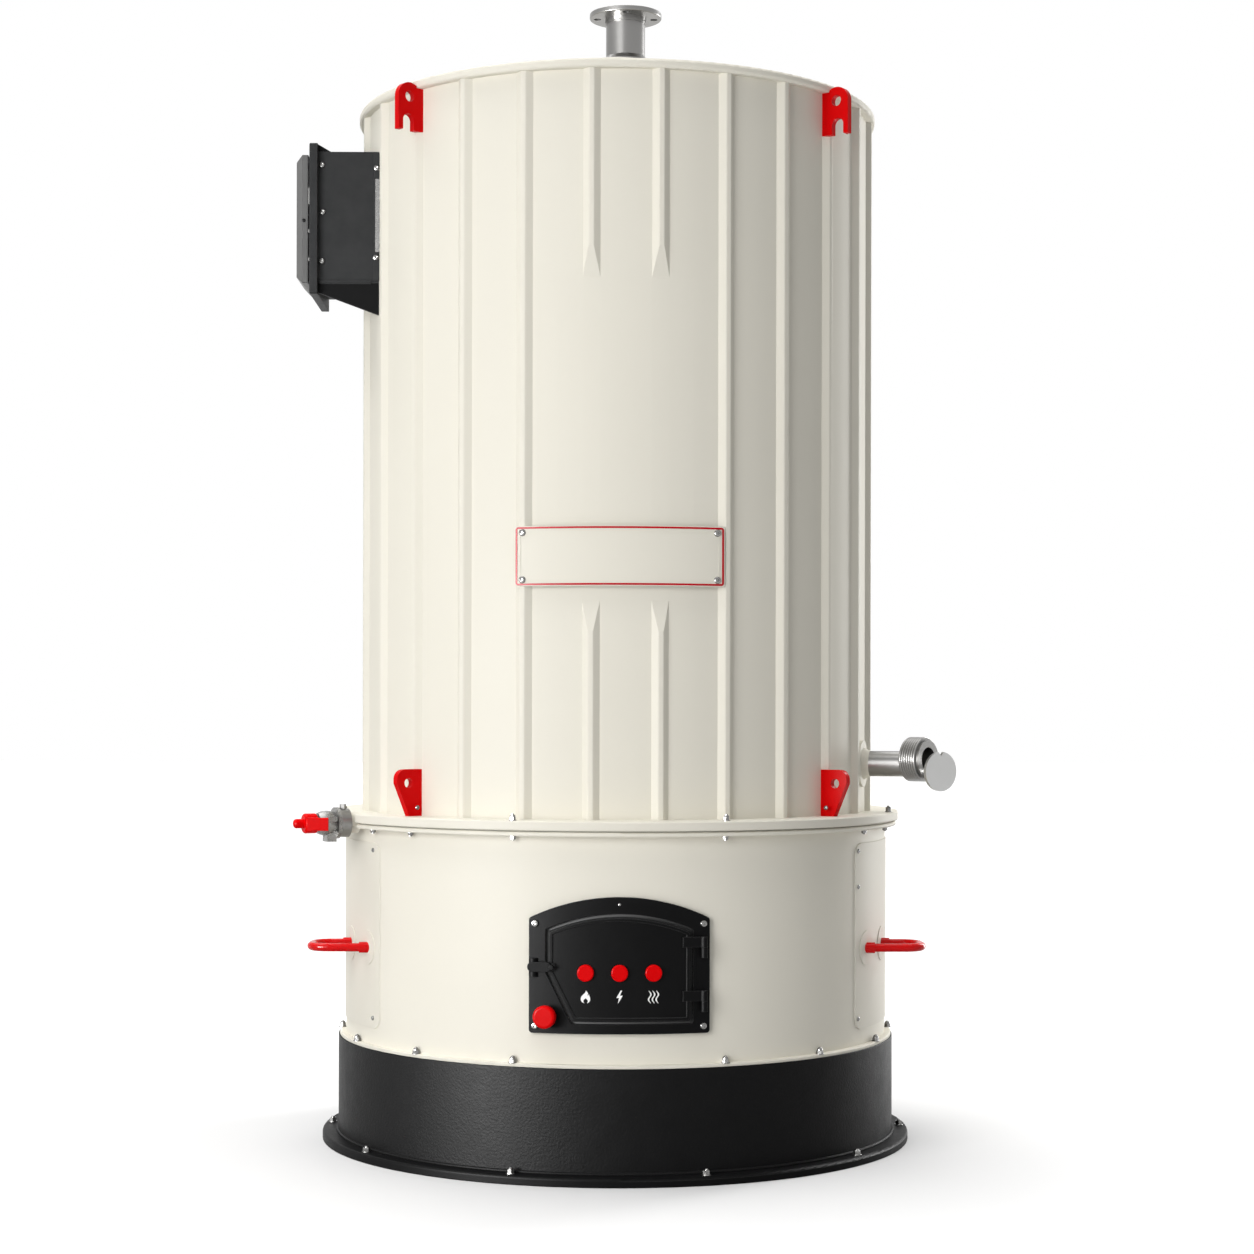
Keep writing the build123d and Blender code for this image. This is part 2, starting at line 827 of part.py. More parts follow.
with BuildPart() as door_bead:
    with BuildSketch(front_plane) as bead_outer:
        door_face(-door_bead_inset)
        fillet(bead_outer.vertices(), door_corner)
    extrude(amount=door_radius + overrun)
    with BuildSketch(front_plane) as bead_inner:
        door_face(-door_bead_inset - door_bead_width)
        fillet(bead_inner.vertices(), door_corner / 2)
    extrude(amount=door_radius + overrun, mode=Mode.SUBTRACT)
    bead_radius = door_radius + door_bead_height
    ring(door_radius, bead_radius, frame_bottom, frame_height, mode=Mode.INTERSECT)

with BuildPart() as fire_door:
    with BuildSketch(front_plane) as door_outline:
        door_face(0)
        fillet(door_outline.vertices(), door_corner)
    extrude(amount=door_radius + overrun)
    ring(door_back_radius, door_radius, frame_bottom, frame_height, mode=Mode.INTERSECT)
    add(door_bead.part)
    for button_angle in button_angles:
        with Locations(wall_plane(button_angle, door_radius, button_height)):
            Hole(button_radius + button_gap, button_pocket_depth)
    with BuildSketch(wall_plane(latch_angle, door_radius - door_thickness / 2, latch_height)):
        Circle(latch_boss_radius)
    extrude(amount=door_thickness / 2 + moving_gap)
    with BuildSketch(wall_plane(latch_angle, door_radius, latch_height)):
        Circle(latch_pin_radius)
    extrude(amount=moving_gap + latch_thickness + clearance)
save(fire_door, "fire_door")

for button_name, button_angle in zip(button_names, button_angles):
    with BuildPart() as button:
        with BuildSketch(wall_plane(button_angle, door_radius - button_seat, button_height)):
            Circle(button_radius)
        extrude(amount=button_seat + button_proud)
        fillet(button.edges().filter_by(GeomType.CIRCLE).sort_by(Axis.Y)[0], button_round)
    save(button, button_name)


# Hinges, latch bar and keeper

hinge_radius = door_radius + hinge_strap_thickness / 2
hinge_y = -sqrt(hinge_radius**2 - hinge_x**2)
knuckle_height = hinge_length / 2

with BuildPart() as hinge_brackets:
    for hinge_bottom in hinge_bottoms:
        with BuildSketch(Plane.XY.offset(hinge_bottom)):
            with Locations((hinge_x, hinge_y)):
                Circle(hinge_barrel_radius)
            with Locations((hinge_x, hinge_y / 2)):
                Rectangle(hinge_tab_width, -hinge_y)
        extrude(amount=knuckle_height)
        with BuildSketch(Plane.XY.offset(hinge_bottom)):
            with Locations((hinge_x, hinge_y)):
                Circle(hinge_pin_radius)
        extrude(amount=hinge_length)
    with Locations((0, 0, frame_bottom)):
        Cylinder(frame_radius, 2 * frame_height, mode=Mode.SUBTRACT)
save(hinge_brackets, "hinge_brackets")

strap_start = degrees(asin((hinge_x - hinge_strap_length) / hinge_radius))
strap_end = degrees(asin(hinge_x / hinge_radius))
with BuildPart() as door_hinges:
    for hinge_bottom in hinge_bottoms:
        knuckle_bottom = hinge_bottom + knuckle_height + clearance
        knuckle_length = knuckle_height - clearance
        strap_outer = door_radius + hinge_strap_thickness
        sector(door_radius, strap_outer, strap_start, strap_end, knuckle_bottom, knuckle_length)
        with BuildSketch(Plane.XY.offset(knuckle_bottom)):
            with Locations((hinge_x, hinge_y)):
                Circle(hinge_barrel_radius)
        extrude(amount=knuckle_length)
        with BuildSketch(Plane.XY.offset(knuckle_bottom)):
            with Locations((hinge_x, hinge_y)):
                Circle(hinge_pin_radius + clearance)
        extrude(amount=knuckle_length, mode=Mode.SUBTRACT)
    add(fire_door.part, mode=Mode.SUBTRACT)
save(door_hinges, "door_hinges")

with BuildPart() as latch_bar:
    with BuildSketch(wall_plane(latch_angle, door_radius + moving_gap + clearance, latch_height)):
        with Locations((-latch_length / 2, 0)):
            SlotCenterToCenter(latch_length - latch_width, latch_width)
        with Locations((-latch_length + latch_width, 0)):
            Rectangle(latch_width, latch_width)
        Circle(latch_pin_radius + clearance, mode=Mode.SUBTRACT)
    extrude(amount=latch_thickness)
save(latch_bar, "latch_bar")

with BuildPart() as latch_keeper:
    keeper_angle = degrees(asin(keeper_x / frame_radius))
    keeper_centre = outward(keeper_angle) * (frame_radius + keeper_proud - keeper_radius)
    with BuildSketch(Plane.XY.offset(keeper_height - keeper_length / 2)):
        with Locations((keeper_centre.X, keeper_centre.Y)):
            Circle(keeper_radius)
    extrude(amount=keeper_length)
    with Locations((0, 0, keeper_height)):
        Cylinder(frame_radius, 2 * keeper_length, mode=Mode.SUBTRACT)
save(latch_keeper, "latch_keeper")


# Stop button on the frame, in the corner that the door leaves free

stop_angle = degrees(asin(stop_x / frame_radius))

with BuildPart() as stop_collar:
    with BuildSketch(wall_plane(stop_angle, frame_radius - frame_thickness / 2, stop_height)):
        Circle(stop_collar_radius)
        Circle(stop_stem_radius + button_gap, mode=Mode.SUBTRACT)
    extrude(amount=frame_thickness / 2 + stop_collar_depth)
    with Locations((0, 0, stop_height)):
        Cylinder(frame_radius, 3 * stop_collar_radius, mode=Mode.SUBTRACT)
save(stop_collar, "stop_collar")

stop_head_radius_from_axis = frame_radius + stop_collar_depth + moving_gap
with BuildPart() as stop_button:
    with BuildSketch(wall_plane(stop_angle, stop_head_radius_from_axis, stop_height)):
        Circle(stop_head_radius)
    extrude(amount=stop_head_depth)
    fillet(stop_button.edges().filter_by(GeomType.CIRCLE).sort_by(Axis.Y)[0], stop_head_round)
    with BuildSketch(wall_plane(stop_angle, stop_head_radius_from_axis, stop_height)):
        Circle(stop_stem_radius)
    extrude(amount=-moving_gap - stop_stem_seat)
save(stop_button, "stop_button")


# Drain valve on the flange rim

drain_boss_end = tube_plate_radius + drain_boss_length
drain_union_end = drain_boss_end + drain_union_length
drain_collar_end = drain_union_end + drain_collar_length
valve_end = drain_collar_end + valve_length
hub_start = valve_end + valve_hub_gap
hub_end = hub_start + valve_hub_length


def drain_disc(start, end, radius, mode=Mode.ADD):
    """Round length of the drain line between two distances from the boiler's axis."""
    with BuildSketch(wall_plane(drain_angle, start, drain_height)) as outline:
        Circle(radius)
    extrude(outline.sketch, amount=end - start, mode=mode)


with BuildPart() as drain_boss:
    drain_disc(tube_plate_radius - drain_boss_root, drain_boss_end, drain_boss_radius)
    for rim_plate in (drum_top_ring, flange_gasket, tube_plate):
        add(rim_plate.part, mode=Mode.SUBTRACT)
save(drain_boss, "drain_boss")

with BuildPart() as drain_union:
    drain_disc(drain_boss_end, drain_union_end, drain_union_radius)
    nut_place = outward(drain_angle) * (drain_boss_end + drain_union_length / 2)
    with BuildSketch(Plane(origin=nut_place + Vector(0, 0, drain_height))):
        RegularPolygon(drain_nut_radius, 6)
    extrude(amount=drain_union_radius + drain_nut_height)
save(drain_union, "drain_union")

valve_place = outward(drain_angle) * drain_union_end + Vector(0, 0, drain_height)
valve_section = Plane(origin=valve_place, x_dir=sideways(drain_angle), z_dir=(0, 0, -1))
with BuildPart() as valve_body:
    with BuildSketch(valve_section):
        with BuildLine():
            body_start = drain_collar_length
            body_end = drain_collar_length + valve_length
            Polyline(
                (valve_body_radius, body_start),
                (drain_collar_radius, body_start),
                (drain_collar_radius, 0),
                (0, 0),
                (0, body_end + valve_stem_length),
                (valve_stem_radius, body_end + valve_stem_length),
                (valve_stem_radius, body_end),
                (valve_body_radius, body_end),
            )
            ThreePointArc(
                (valve_body_radius, body_end),
                (valve_ball_radius, (body_start + body_end) / 2),
                (valve_body_radius, body_start),
            )
        make_face()
    revolve(axis=Axis(valve_place, outward(drain_angle)))
    with BuildSketch(wall_plane(drain_angle, drain_collar_end, drain_height - valve_foot_drop / 2)):
        Rectangle(valve_foot_width, valve_foot_drop)
    extrude(amount=valve_foot_length)
save(valve_body, "valve_body")

with BuildPart() as valve_handle:
    drain_disc(hub_start, hub_end, valve_hub_radius)
    fillet(valve_handle.edges().filter_by(GeomType.CIRCLE), valve_hub_round)
    drain_disc(hub_end - valve_hub_round, hub_end + valve_knob_length, valve_knob_radius)
    knob_edges = valve_handle.edges().filter_by(GeomType.CIRCLE)
    fillet(knob_edges.sort_by_distance((0, 0, drain_height))[-1], valve_knob_round)
    arm_plane = wall_plane(drain_angle, hub_start, drain_height).rotated((0, 0, valve_blade_angle))
    arm_length = valve_blade_offset + valve_blade_thickness / 2
    with BuildSketch(arm_plane):
        with Locations((arm_length / 2, 0)):
            Rectangle(arm_length, valve_blade_width)
    extrude(amount=valve_arm_thickness)
    with BuildSketch(arm_plane.offset(valve_arm_thickness - valve_blade_length)):
        with Locations((valve_blade_offset, 0)):
            RectangleRounded(valve_blade_thickness, valve_blade_width, valve_blade_thickness / 3)
    extrude(amount=valve_blade_length)
    stem_end = valve_end + valve_stem_length + clearance
    drain_disc(hub_start, stem_end, valve_stem_radius + clearance, Mode.SUBTRACT)
save(valve_handle, "valve_handle")


# Water outlet on the right side

union_place = outward(outlet_angle) * outlet_pipe_end + Vector(0, 0, outlet_height)
union_direction = outward(union_angle)

with BuildPart() as outlet_pad:
    with BuildSketch(wall_plane(outlet_angle, jacket_radius - rib_height, outlet_height)):
        Circle(outlet_pad_radius)
    extrude(amount=2 * rib_height)
    pad_bottom = outlet_height - outlet_pad_radius
    pad_outer = jacket_radius + outlet_pad_thickness
    ring(jacket_radius, pad_outer, pad_bottom, 2 * outlet_pad_radius, mode=Mode.INTERSECT)
    with Locations(wall_plane(outlet_angle, jacket_radius, outlet_height)):
        Cone(
            outlet_flare_radius,
            outlet_pipe_radius,
            outlet_pad_thickness + outlet_flare_length,
            align=(Align.CENTER, Align.CENTER, Align.MIN),
        )
    with BuildSketch(wall_plane(outlet_angle, jacket_radius - rib_height, outlet_height)):
        Circle(outlet_pipe_radius)
    extrude(amount=outlet_pipe_end - jacket_radius, mode=Mode.SUBTRACT)
    add(jacket_form.part, mode=Mode.SUBTRACT)
save(outlet_pad, "outlet_pad")

with BuildPart() as outlet_pipe:
    with BuildSketch(wall_plane(outlet_angle, jacket_radius - rib_height, outlet_height)):
        Circle(outlet_pipe_radius)
        Circle(outlet_pipe_radius - outlet_pipe_wall, mode=Mode.SUBTRACT)
    extrude(amount=outlet_pipe_end - jacket_radius + 2 * outlet_pipe_radius)
    split(bisect_by=Plane(origin=union_place, z_dir=union_direction), keep=Keep.BOTTOM)
    add(jacket_form.part, mode=Mode.SUBTRACT)
save(outlet_pipe, "outlet_pipe")

union_origin = union_place + Vector(0, 0, union_lift)
union_length = union_ring_count * union_ring_pitch
union_section = Plane(origin=union_origin, x_dir=sideways(union_angle), z_dir=(0, 0, 1))
with BuildPart() as outlet_union:
    with BuildSketch(union_section):
        with BuildLine():
            root = union_radius - union_groove_depth
            for ring_number in range(union_ring_count):
                ring_start = ring_number * union_ring_pitch
                ThreePointArc(
                    (root, -ring_start),
                    (union_radius, -ring_start - union_ring_pitch / 2),
                    (root, -ring_start - union_ring_pitch),
                )
            Polyline(
                (root, -union_length),
                (union_lip_radius, -union_length),
                (union_lip_radius, -union_length - union_lip_length),
                (union_bore_radius, -union_length - union_lip_length),
                (union_bore_radius, -union_back),
                (0, -union_back),
                (0, 0),
                (root, 0),
            )
        make_face()
    revolve(axis=Axis(union_origin, union_direction))
save(outlet_union, "outlet_union")

union_front = union_origin + union_direction * (union_length + union_lip_length)
cap_place = (
    union_front
    + sideways(cap_angle) * cap_disc_shift
    + outward(cap_angle) * cap_disc_stand
    - Vector(0, 0, cap_disc_drop)
)
cap_plane = Plane(origin=cap_place, x_dir=sideways(cap_angle), z_dir=outward(cap_angle))
with BuildPart() as outlet_cap:
    with BuildSketch(cap_plane):
        Circle(cap_disc_radius)
        with BuildLine():
            Polyline(
                (-cap_notch_width / 2, cap_disc_radius + cap_notch_depth),
                (-cap_notch_width / 2, cap_disc_radius),
                (0, cap_disc_radius - cap_notch_depth),
                (cap_notch_width / 2, cap_disc_radius),
                (cap_notch_width / 2, cap_disc_radius + cap_notch_depth),
                close=True,
            )
        make_face(mode=Mode.SUBTRACT)
    extrude(amount=-cap_disc_thickness)
    with BuildSketch(cap_plane.offset(-cap_disc_thickness)):
        Circle(cap_neck_radius)
    extrude(amount=-cap_neck_length)
    split(bisect_by=Plane(origin=union_front, z_dir=union_direction), keep=Keep.TOP)
save(outlet_cap, "outlet_cap")


# Bare name plate across the ribs

with BuildPart() as name_plate:
    with BuildSketch(wall_plane(0, 0, plate_centre_height)):
        RectangleRounded(plate_width, plate_height, plate_corner)
    extrude(amount=rib_radius + rib_height)
    plate_inner = rib_radius + clearance
    plate_bottom = plate_centre_height - plate_height / 2
    ring(plate_inner, plate_inner + plate_thickness, plate_bottom, plate_height, mode=Mode.INTERSECT)
save(name_plate, "name_plate")
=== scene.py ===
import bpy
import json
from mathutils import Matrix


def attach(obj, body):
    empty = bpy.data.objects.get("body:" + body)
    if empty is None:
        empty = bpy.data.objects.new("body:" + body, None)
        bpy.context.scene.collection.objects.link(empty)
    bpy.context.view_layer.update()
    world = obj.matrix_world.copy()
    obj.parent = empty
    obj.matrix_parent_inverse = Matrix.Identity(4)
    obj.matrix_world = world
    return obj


bl_info = {
    "name": "Vertical Boiler Dressing",
    "version": (1, 0, 0),
    "blender": (4, 5, 0),
    "location": "View3D > Sidebar > Boiler",
    "description": "Finishes, fasteners, trim and studio for the vertical industrial boiler",
    "category": "Object",
}

import json
from math import asin, cos, degrees, pi, radians, sin, tau

import bmesh
import bpy
from bpy.props import FloatProperty, FloatVectorProperty, IntProperty, PointerProperty
from bpy.types import Operator, Panel, PropertyGroup
from mathutils import Euler, Matrix, Vector

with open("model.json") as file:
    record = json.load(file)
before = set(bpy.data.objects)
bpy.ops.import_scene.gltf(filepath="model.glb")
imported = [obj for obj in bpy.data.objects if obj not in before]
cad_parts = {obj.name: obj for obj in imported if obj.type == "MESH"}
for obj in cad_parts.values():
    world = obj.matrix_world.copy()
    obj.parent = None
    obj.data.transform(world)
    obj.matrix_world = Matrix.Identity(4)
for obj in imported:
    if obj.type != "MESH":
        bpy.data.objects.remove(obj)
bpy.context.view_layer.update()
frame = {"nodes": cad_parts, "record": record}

# The boiler's layout in millimetres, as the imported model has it.
# Angles are in degrees, are read from the front and grow towards +X.
MM = 0.001
FLANGE_TOP = 16.0
ANCHOR_CIRCLE = 552.0
ANCHOR_TURN = 16.0
SKIRT_WELD_RADIUS = 537.5
FOOT_TOP = 206.0
DRUM_RADIUS = 522.0
TOP_RING_BOTTOM = 603.0
TUBE_PLATE_TOP = 630.0
JACKET_RADIUS = 485.0
RIB_TURN = -6.0
RIB_PITCH = 14.4
RIB_FLANK = 15.5
PANEL_RADIUS = 523.8
FRAME_RADIUS = 531.0
DOOR_RADIUS = 537.0
DOOR_HALF = 124.0
DOOR_BOTTOM = 282.0
DOOR_SHOULDER = 438.0
DOOR_ARCH = 26.0
DOOR_CUT = (43.0, 86.0)
PLATE_RADIUS = 497.3
PLATE_SIZE = (371.0, 106.0)
PLATE_HEIGHT = 1094.0
BOX_FRONT = -185.0
COVER_FRONT = -170.0

# Where the fasteners sit. A reach is measured outward from the wall, a head is a height,
# and a share is of the radius that the fasteners' settings hold.
ANCHOR_HEAD = 8.5
FOOT_NUT_REACH, FOOT_NUT_HEAD, FOOT_NUT_SHARE = 7.8, 12.5, 0.82
TUBE_BOLT_REACH, TUBE_BOLT_HEAD, TUBE_BOLT_SHARE = 12.0, 9.5, 0.7
TUBE_BOLT_ANGLES = (-75.0, -20.5, 20.5, 75.0)
RING_BOLT_REACH, RING_BOLT_HEAD, RING_BOLT_SHARE = 11.0, 6.0, 0.65
RING_BOLT_ANGLES = (-57.4, -44.5, -20.5, 20.4, 58.3, 71.6)
PANEL_SCREW_HEAD = 2.6
PANEL_SCREWS = (
    (-59.2, (564.0, 255.0)),
    (-120.8, (564.0, 255.0)),
    (57.8, (564.0, 498.0, 255.0)),
    (122.2, (564.0, 498.0, 255.0)),
)
FRAME_SCREW_HEAD = 4.2
FRAME_SCREW_ACROSS = 147.0
FRAME_SCREW_HEIGHTS = (451.0, 272.5)
FRAME_RIVET_HEIGHT = 485.5
FRAME_RIVET_SIZE = (2.6, 1.6)
LOWER_LUG_RIBS = (-3, 4, 10, -9)
LUG_SCREW_REACH = 19.0
LUG_THICKNESS = 12.0
LUG_SCREW_HEIGHT = 646.0
LUG_SCREW_HEAD = 2.4
PLATE_SCREW_ACROSS = 172.0
PLATE_SCREW_RISE = 41.5
PLATE_SCREW_HEAD = 3.6
BOX_SCREW_HEAD, BOX_SCREW_SHARE = 4.2, 0.9
BOX_SCREWS = (
    (-555.5, 1843.0, 0.0),
    (-554.0, 1755.0, 0.0),
    (-555.5, 1663.0, 0.0),
    (-453.0, 1837.0, 2.2),
    (-454.0, 1669.5, 2.2),
)
COVER_SCREW = (-591.5, 1742.0, 0.0)
COVER_SCREW_HEAD, COVER_SCREW_SHARE = 2.4, 0.55

# Trim. The blocks give two corners and the width of their bevel, with depths from the front behind them.
WELD_RISE, WELD_THICKNESS = 1.5, 3.2
PLATE_CORNER = 6.5
BORDER_INSETS, BORDER_THICKNESS = (5.0, 1.6), 0.5
BEAD_INSETS, BEAD_CORNER, BEAD_THICKNESS = (10.6, 9.2), 4.5, 0.6
# The dark strip in the gap round the fire door is painted shade.
GAP_SHADE_INNER, GAP_SHADE_OUTER, GAP_SHADE_THICKNESS = -9.0, 4.8, 1.4
SURFACE_GAP = 0.2
# The drum's inside, from this depth under its outer face, gets a painted shade.
PAINTED_SHADE_DEPTH = 1.5
BOX_LIPS = (
    ((-459.0, -2.2, 1626.0), (-447.5, 0.0, 1866.0), 0.7),
    ((-562.0, -2.4, 1620.0), (-461.0, 4.0, 1629.0), 2.2),
)
BOX_STRIP = ((-455.5, -3.4, 1680.0), (-447.0, -2.0, 1817.0), 0.5)
COVER_CLIPS = (
    ((-582.6, -1.2, 1772.0), (-578.4, 8.0, 1804.0), 0.6),
    ((-582.6, -1.2, 1719.0), (-578.4, 8.0, 1725.0), 0.6),
    ((-582.6, -1.2, 1666.0), (-578.4, 8.0, 1672.0), 0.6),
)

# Outlines of the fasteners' heads from the foot up, as shares of their radius and height.
HEX_WASHER, NUT_WASHER = 1.25, 1.2
HEX_HEAD = ((1.0, 0.15), (1.0, 0.86), (0.84, 1.0), (0.5, 1.0))
THREAD_END = ((0.52, 0.98), (0.52, 1.2), (0.42, 1.28), (0.0, 1.28))
NUT_HEAD = ((1.0, 0.1), (1.0, 0.46), (0.9, 0.5), (0.6, 0.5))
NUT_DOME = ((0.82, 0.485), (0.82, 0.5))
PAN_HEAD = (
    (1.0, 0.0), (1.0, 0.25), (0.95, 0.55), (0.8, 0.84),
    (0.45, 1.0), (0.36, 0.94), (0.324, 0.3), (0.0, 0.2),
)
RIVET_RIM = 0.15
WASHER_EDGE = 0.3
SHARP_ANGLE = 34

# Prints on the door in millimetres. A point is across, up and whether it is sharp.
SYMBOL_HEIGHT, SYMBOL_PITCH = 325.5, 59.0
PRINT_THICKNESS = 0.3
FLAME = (
    (0.6, 11.5, True), (4.2, 6.0, False), (3.8, 2.6, False), (5.6, 4.6, True), (8.0, -2.0, False),
    (7.0, -7.8, False), (2.6, -11.0, True), (4.0, -7.2, False), (0.4, -2.2, True), (-3.8, -6.6, False),
    (-2.4, -11.0, True), (-7.0, -8.0, False), (-8.2, -2.2, False), (-4.4, 4.0, False), (-0.8, 7.4, False),
)
SPARK = (
    (1.8, 11.5, True), (-5.6, -1.4, True), (-1.0, -1.4, True), (-3.0, -11.5, True), (5.6, 2.6, True),
    (0.8, 2.6, True), (4.6, 11.5, True),
)
HEAT_LINES = (-6.6, 0.0, 6.6)
HEAT_RISE, HEAT_SWAY, HEAT_HALF_WIDTH = 11.0, 2.1, 1.25
HEAT_WAVES = 1.25
HEAT_END, HEAT_TAPER = 0.35, 3.0

# The studio in metres and degrees. A lamp has its angle, distance, height, size and the height of its aim.
KEY_PLACE = (-32, 4.2, 1.45, (2.2, 2.8), 1.0)
STREAK_PLACE = (-49, 4.0, 0.65, (1.7, 1.2), 0.65)
RIM_PLACE = (128, 3.4, 1.45, (0.8, 2.8), 1.0)
SKY_SPREAD = 64
SKY_TILT = (-8, -11)
FLOOR_HALF, FLOOR_DROP = 30.0, 0.0005
FLOOR_TONE, FLOOR_TONE_SEEN = 0.34, 0.71
# The floor's glow is missing near the boiler, which leaves a painted shade round its foot, and rises between
# two distances.
SHADE_FADE_START, SHADE_FADE_END, FADE_GLOW = 0.75, 2.2, 0.3
PICTURE_WIDTH = 1254
SENSOR_WIDTH = 36

# Edges count as rubbed, and get a painted highlight, from the first match of the flat and the rounded normal
# to the second.
WEAR_SHINE_START, WEAR_SHINE_FULL = 0.99, 0.75

# What all the finishes' colours share as settings.
PAINT = {"size": 3, "min": 0, "max": 1, "subtype": "COLOR"}

# Kinds of a node group's sockets.
COLOUR, VALUE, VECTOR = "NodeSocketColor", "NodeSocketFloat", "NodeSocketVector"


class BoilerFinishes(PropertyGroup):
    """Colours of the boiler's finishes."""

    cream: FloatVectorProperty(
        name="Cream enamel", description="Sheet metal of the jacket and lid",
        default=(0.745, 0.717, 0.632), **PAINT,
    )
    drum_cream: FloatVectorProperty(
        name="Drum enamel", description="Heavy plate of the drum",
        default=(0.79, 0.76, 0.67), **PAINT,
    )
    black: FloatVectorProperty(
        name="Black powder coat", description="Base and small fittings",
        default=(0.0045, 0.0045, 0.0047), **PAINT,
    )
    # Painted light: a lighter copy of the black coat that stands in for the light the box's flat front
    # catches.
    box_lit_black: FloatVectorProperty(
        name="Control box coat", description="Control box and its frame",
        default=(0.034, 0.035, 0.036), **PAINT,
    )
    # Grey of the cover, made lighter to stand in for the light its face catches: partly its own colour,
    # partly a painted highlight.
    cover_grey_and_sheen: FloatVectorProperty(
        name="Cover coat", description="Cover of the control box",
        default=(0.16, 0.16, 0.158), **PAINT,
    )
    # Painted shade: dark colour laid on the drum's inside, so that it looks shaded through the gap round the
    # fire door.
    soot: FloatVectorProperty(
        name="Soot", description="Inside of the drum",
        default=(0.022, 0.02, 0.018), **PAINT,
    )
    # Colour of rubbed edges: wear, and on the black coats also a painted highlight along the edges.
    wear_shine: FloatVectorProperty(
        name="Worn edge", description="Black coat where its edges are rubbed",
        default=(0.05, 0.05, 0.05), **PAINT,
    )
    red: FloatVectorProperty(
        name="Red enamel", description="Lifting lugs and carrying handles",
        default=(0.6, 0.0015, 0.0022), **PAINT,
    )
    red_plastic: FloatVectorProperty(
        name="Red plastic", description="Push buttons and valve handle",
        default=(0.68, 0.0015, 0.0025), **PAINT,
    )
    steel: FloatVectorProperty(
        name="Brushed steel", description="Nozzle and pipes",
        default=(0.225, 0.222, 0.216), **PAINT,
    )
    # A brighter copy of the steel that stands in for the reflection on the cap's flat face: painted
    # reflection.
    cap_lit_steel: FloatVectorProperty(
        name="Cap steel", description="Blank cap of the outlet",
        default=(0.42, 0.42, 0.415), **PAINT,
    )
    gasket: FloatVectorProperty(
        name="Fibre gasket", description="Gasket under the tube plate",
        default=(0.4, 0.38, 0.33), **PAINT,
    )
    fastener: FloatVectorProperty(
        name="Fasteners", description="Bolts, nuts, screws and clips",
        default=(0.2, 0.198, 0.193), **PAINT,
    )
    casting: FloatVectorProperty(
        name="Cast body", description="Drain valve body",
        default=(0.23, 0.227, 0.22), **PAINT,
    )
    # Dark rubber colour, which also colours the painted shade strip in the gap round the fire door.
    seal: FloatVectorProperty(
        name="Seal", description="Seal round the fire door",
        default=(0.02, 0.02, 0.02), **PAINT,
    )
    white_print: FloatVectorProperty(
        name="White print", description="Symbols under the push buttons",
        default=(0.86, 0.86, 0.85), **PAINT,
    )
    red_print: FloatVectorProperty(
        name="Red print", description="Border of the plate",
        default=(0.45, 0.004, 0.012), **PAINT,
    )


class BoilerFasteners(PropertyGroup):
    """Sizes and counts of the boiler's fasteners."""

    anchor_count: IntProperty(
        name="Anchor bolts", description="Bolts round the base flange", default=10, min=1,
    )
    anchor_radius: FloatProperty(
        name="Anchor head radius", description="Radius of an anchor bolt's head",
        default=0.0068, unit="LENGTH", subtype="DISTANCE", precision=4,
    )
    rim_step: FloatProperty(
        name="Rim bolt step", description="Angle between the bolts of the foot and the tube plate",
        default=radians(22.6), unit="ROTATION", subtype="ANGLE",
    )
    rim_start: FloatProperty(
        name="First rim bolt", description="Angle of the first bolt each side of the front",
        default=radians(20.6), unit="ROTATION", subtype="ANGLE",
    )
    rim_radius: FloatProperty(
        name="Rim bolt radius", description="Radius of a bolt head on the foot and the tube plate",
        default=0.0078, unit="LENGTH", subtype="DISTANCE", precision=4,
    )
    screw_radius: FloatProperty(
        name="Screw radius", description="Radius of the screw heads on the door frame and plate",
        default=0.0064, unit="LENGTH", subtype="DISTANCE", precision=4,
    )
    small_screw_radius: FloatProperty(
        name="Small screw radius", description="Radius of the screw heads on thin sheet",
        default=0.0042, unit="LENGTH", subtype="DISTANCE", precision=4,
    )


class BoilerStage(PropertyGroup):
    """Camera and lamps."""

    lens: FloatProperty(
        name="Lens", description="Focal length", default=70.68, unit="CAMERA", precision=2,
    )
    camera_distance: FloatProperty(
        name="Camera distance", description="From the boiler's axis",
        default=4.807, unit="LENGTH", subtype="DISTANCE", precision=3,
    )
    camera_height: FloatProperty(
        name="Camera height", description="Above the floor",
        default=0.834, unit="LENGTH", subtype="DISTANCE", precision=3,
    )
    camera_turn: FloatProperty(
        name="Camera turn", description="Angle of the camera round the boiler, from the front",
        default=radians(-0.77), unit="ROTATION", subtype="ANGLE",
    )
    camera_roll: FloatProperty(
        name="Camera roll", description="Turn of the camera about its own line of sight",
        default=radians(0.12), unit="ROTATION", subtype="ANGLE",
    )
    camera_shift: FloatVectorProperty(
        name="Camera shift", description="Shift of the picture, as shares of its width",
        default=(11 / PICTURE_WIDTH, 77 / PICTURE_WIDTH), size=2,
    )
    key_power: FloatProperty(
        name="Key light", description="Power of the softbox at the front left",
        default=111.0, unit="POWER",
    )
    streak_power: FloatProperty(
        name="Streak light", description="Power of the strip that only makes highlights",
        default=820.0, unit="POWER",
    )
    rim_power: FloatProperty(
        name="Rim light", description="Power of the strip behind the right side",
        default=96.0, unit="POWER",
    )
    top_power: FloatProperty(
        name="Top light", description="Strength of the even light from above", default=3.25, min=0,
    )
    fill: FloatProperty(
        name="Fill", description="Strength of the room's own light", default=0.27, min=0,
    )


# Shapes


def outward(angle):
    """Unit vector away from the axis at an angle from the front."""
    return Vector((sin(radians(angle)), -cos(radians(angle)), 0))


def sideways(angle):
    """Unit vector along the round wall."""
    return Vector((cos(radians(angle)), sin(radians(angle)), 0))


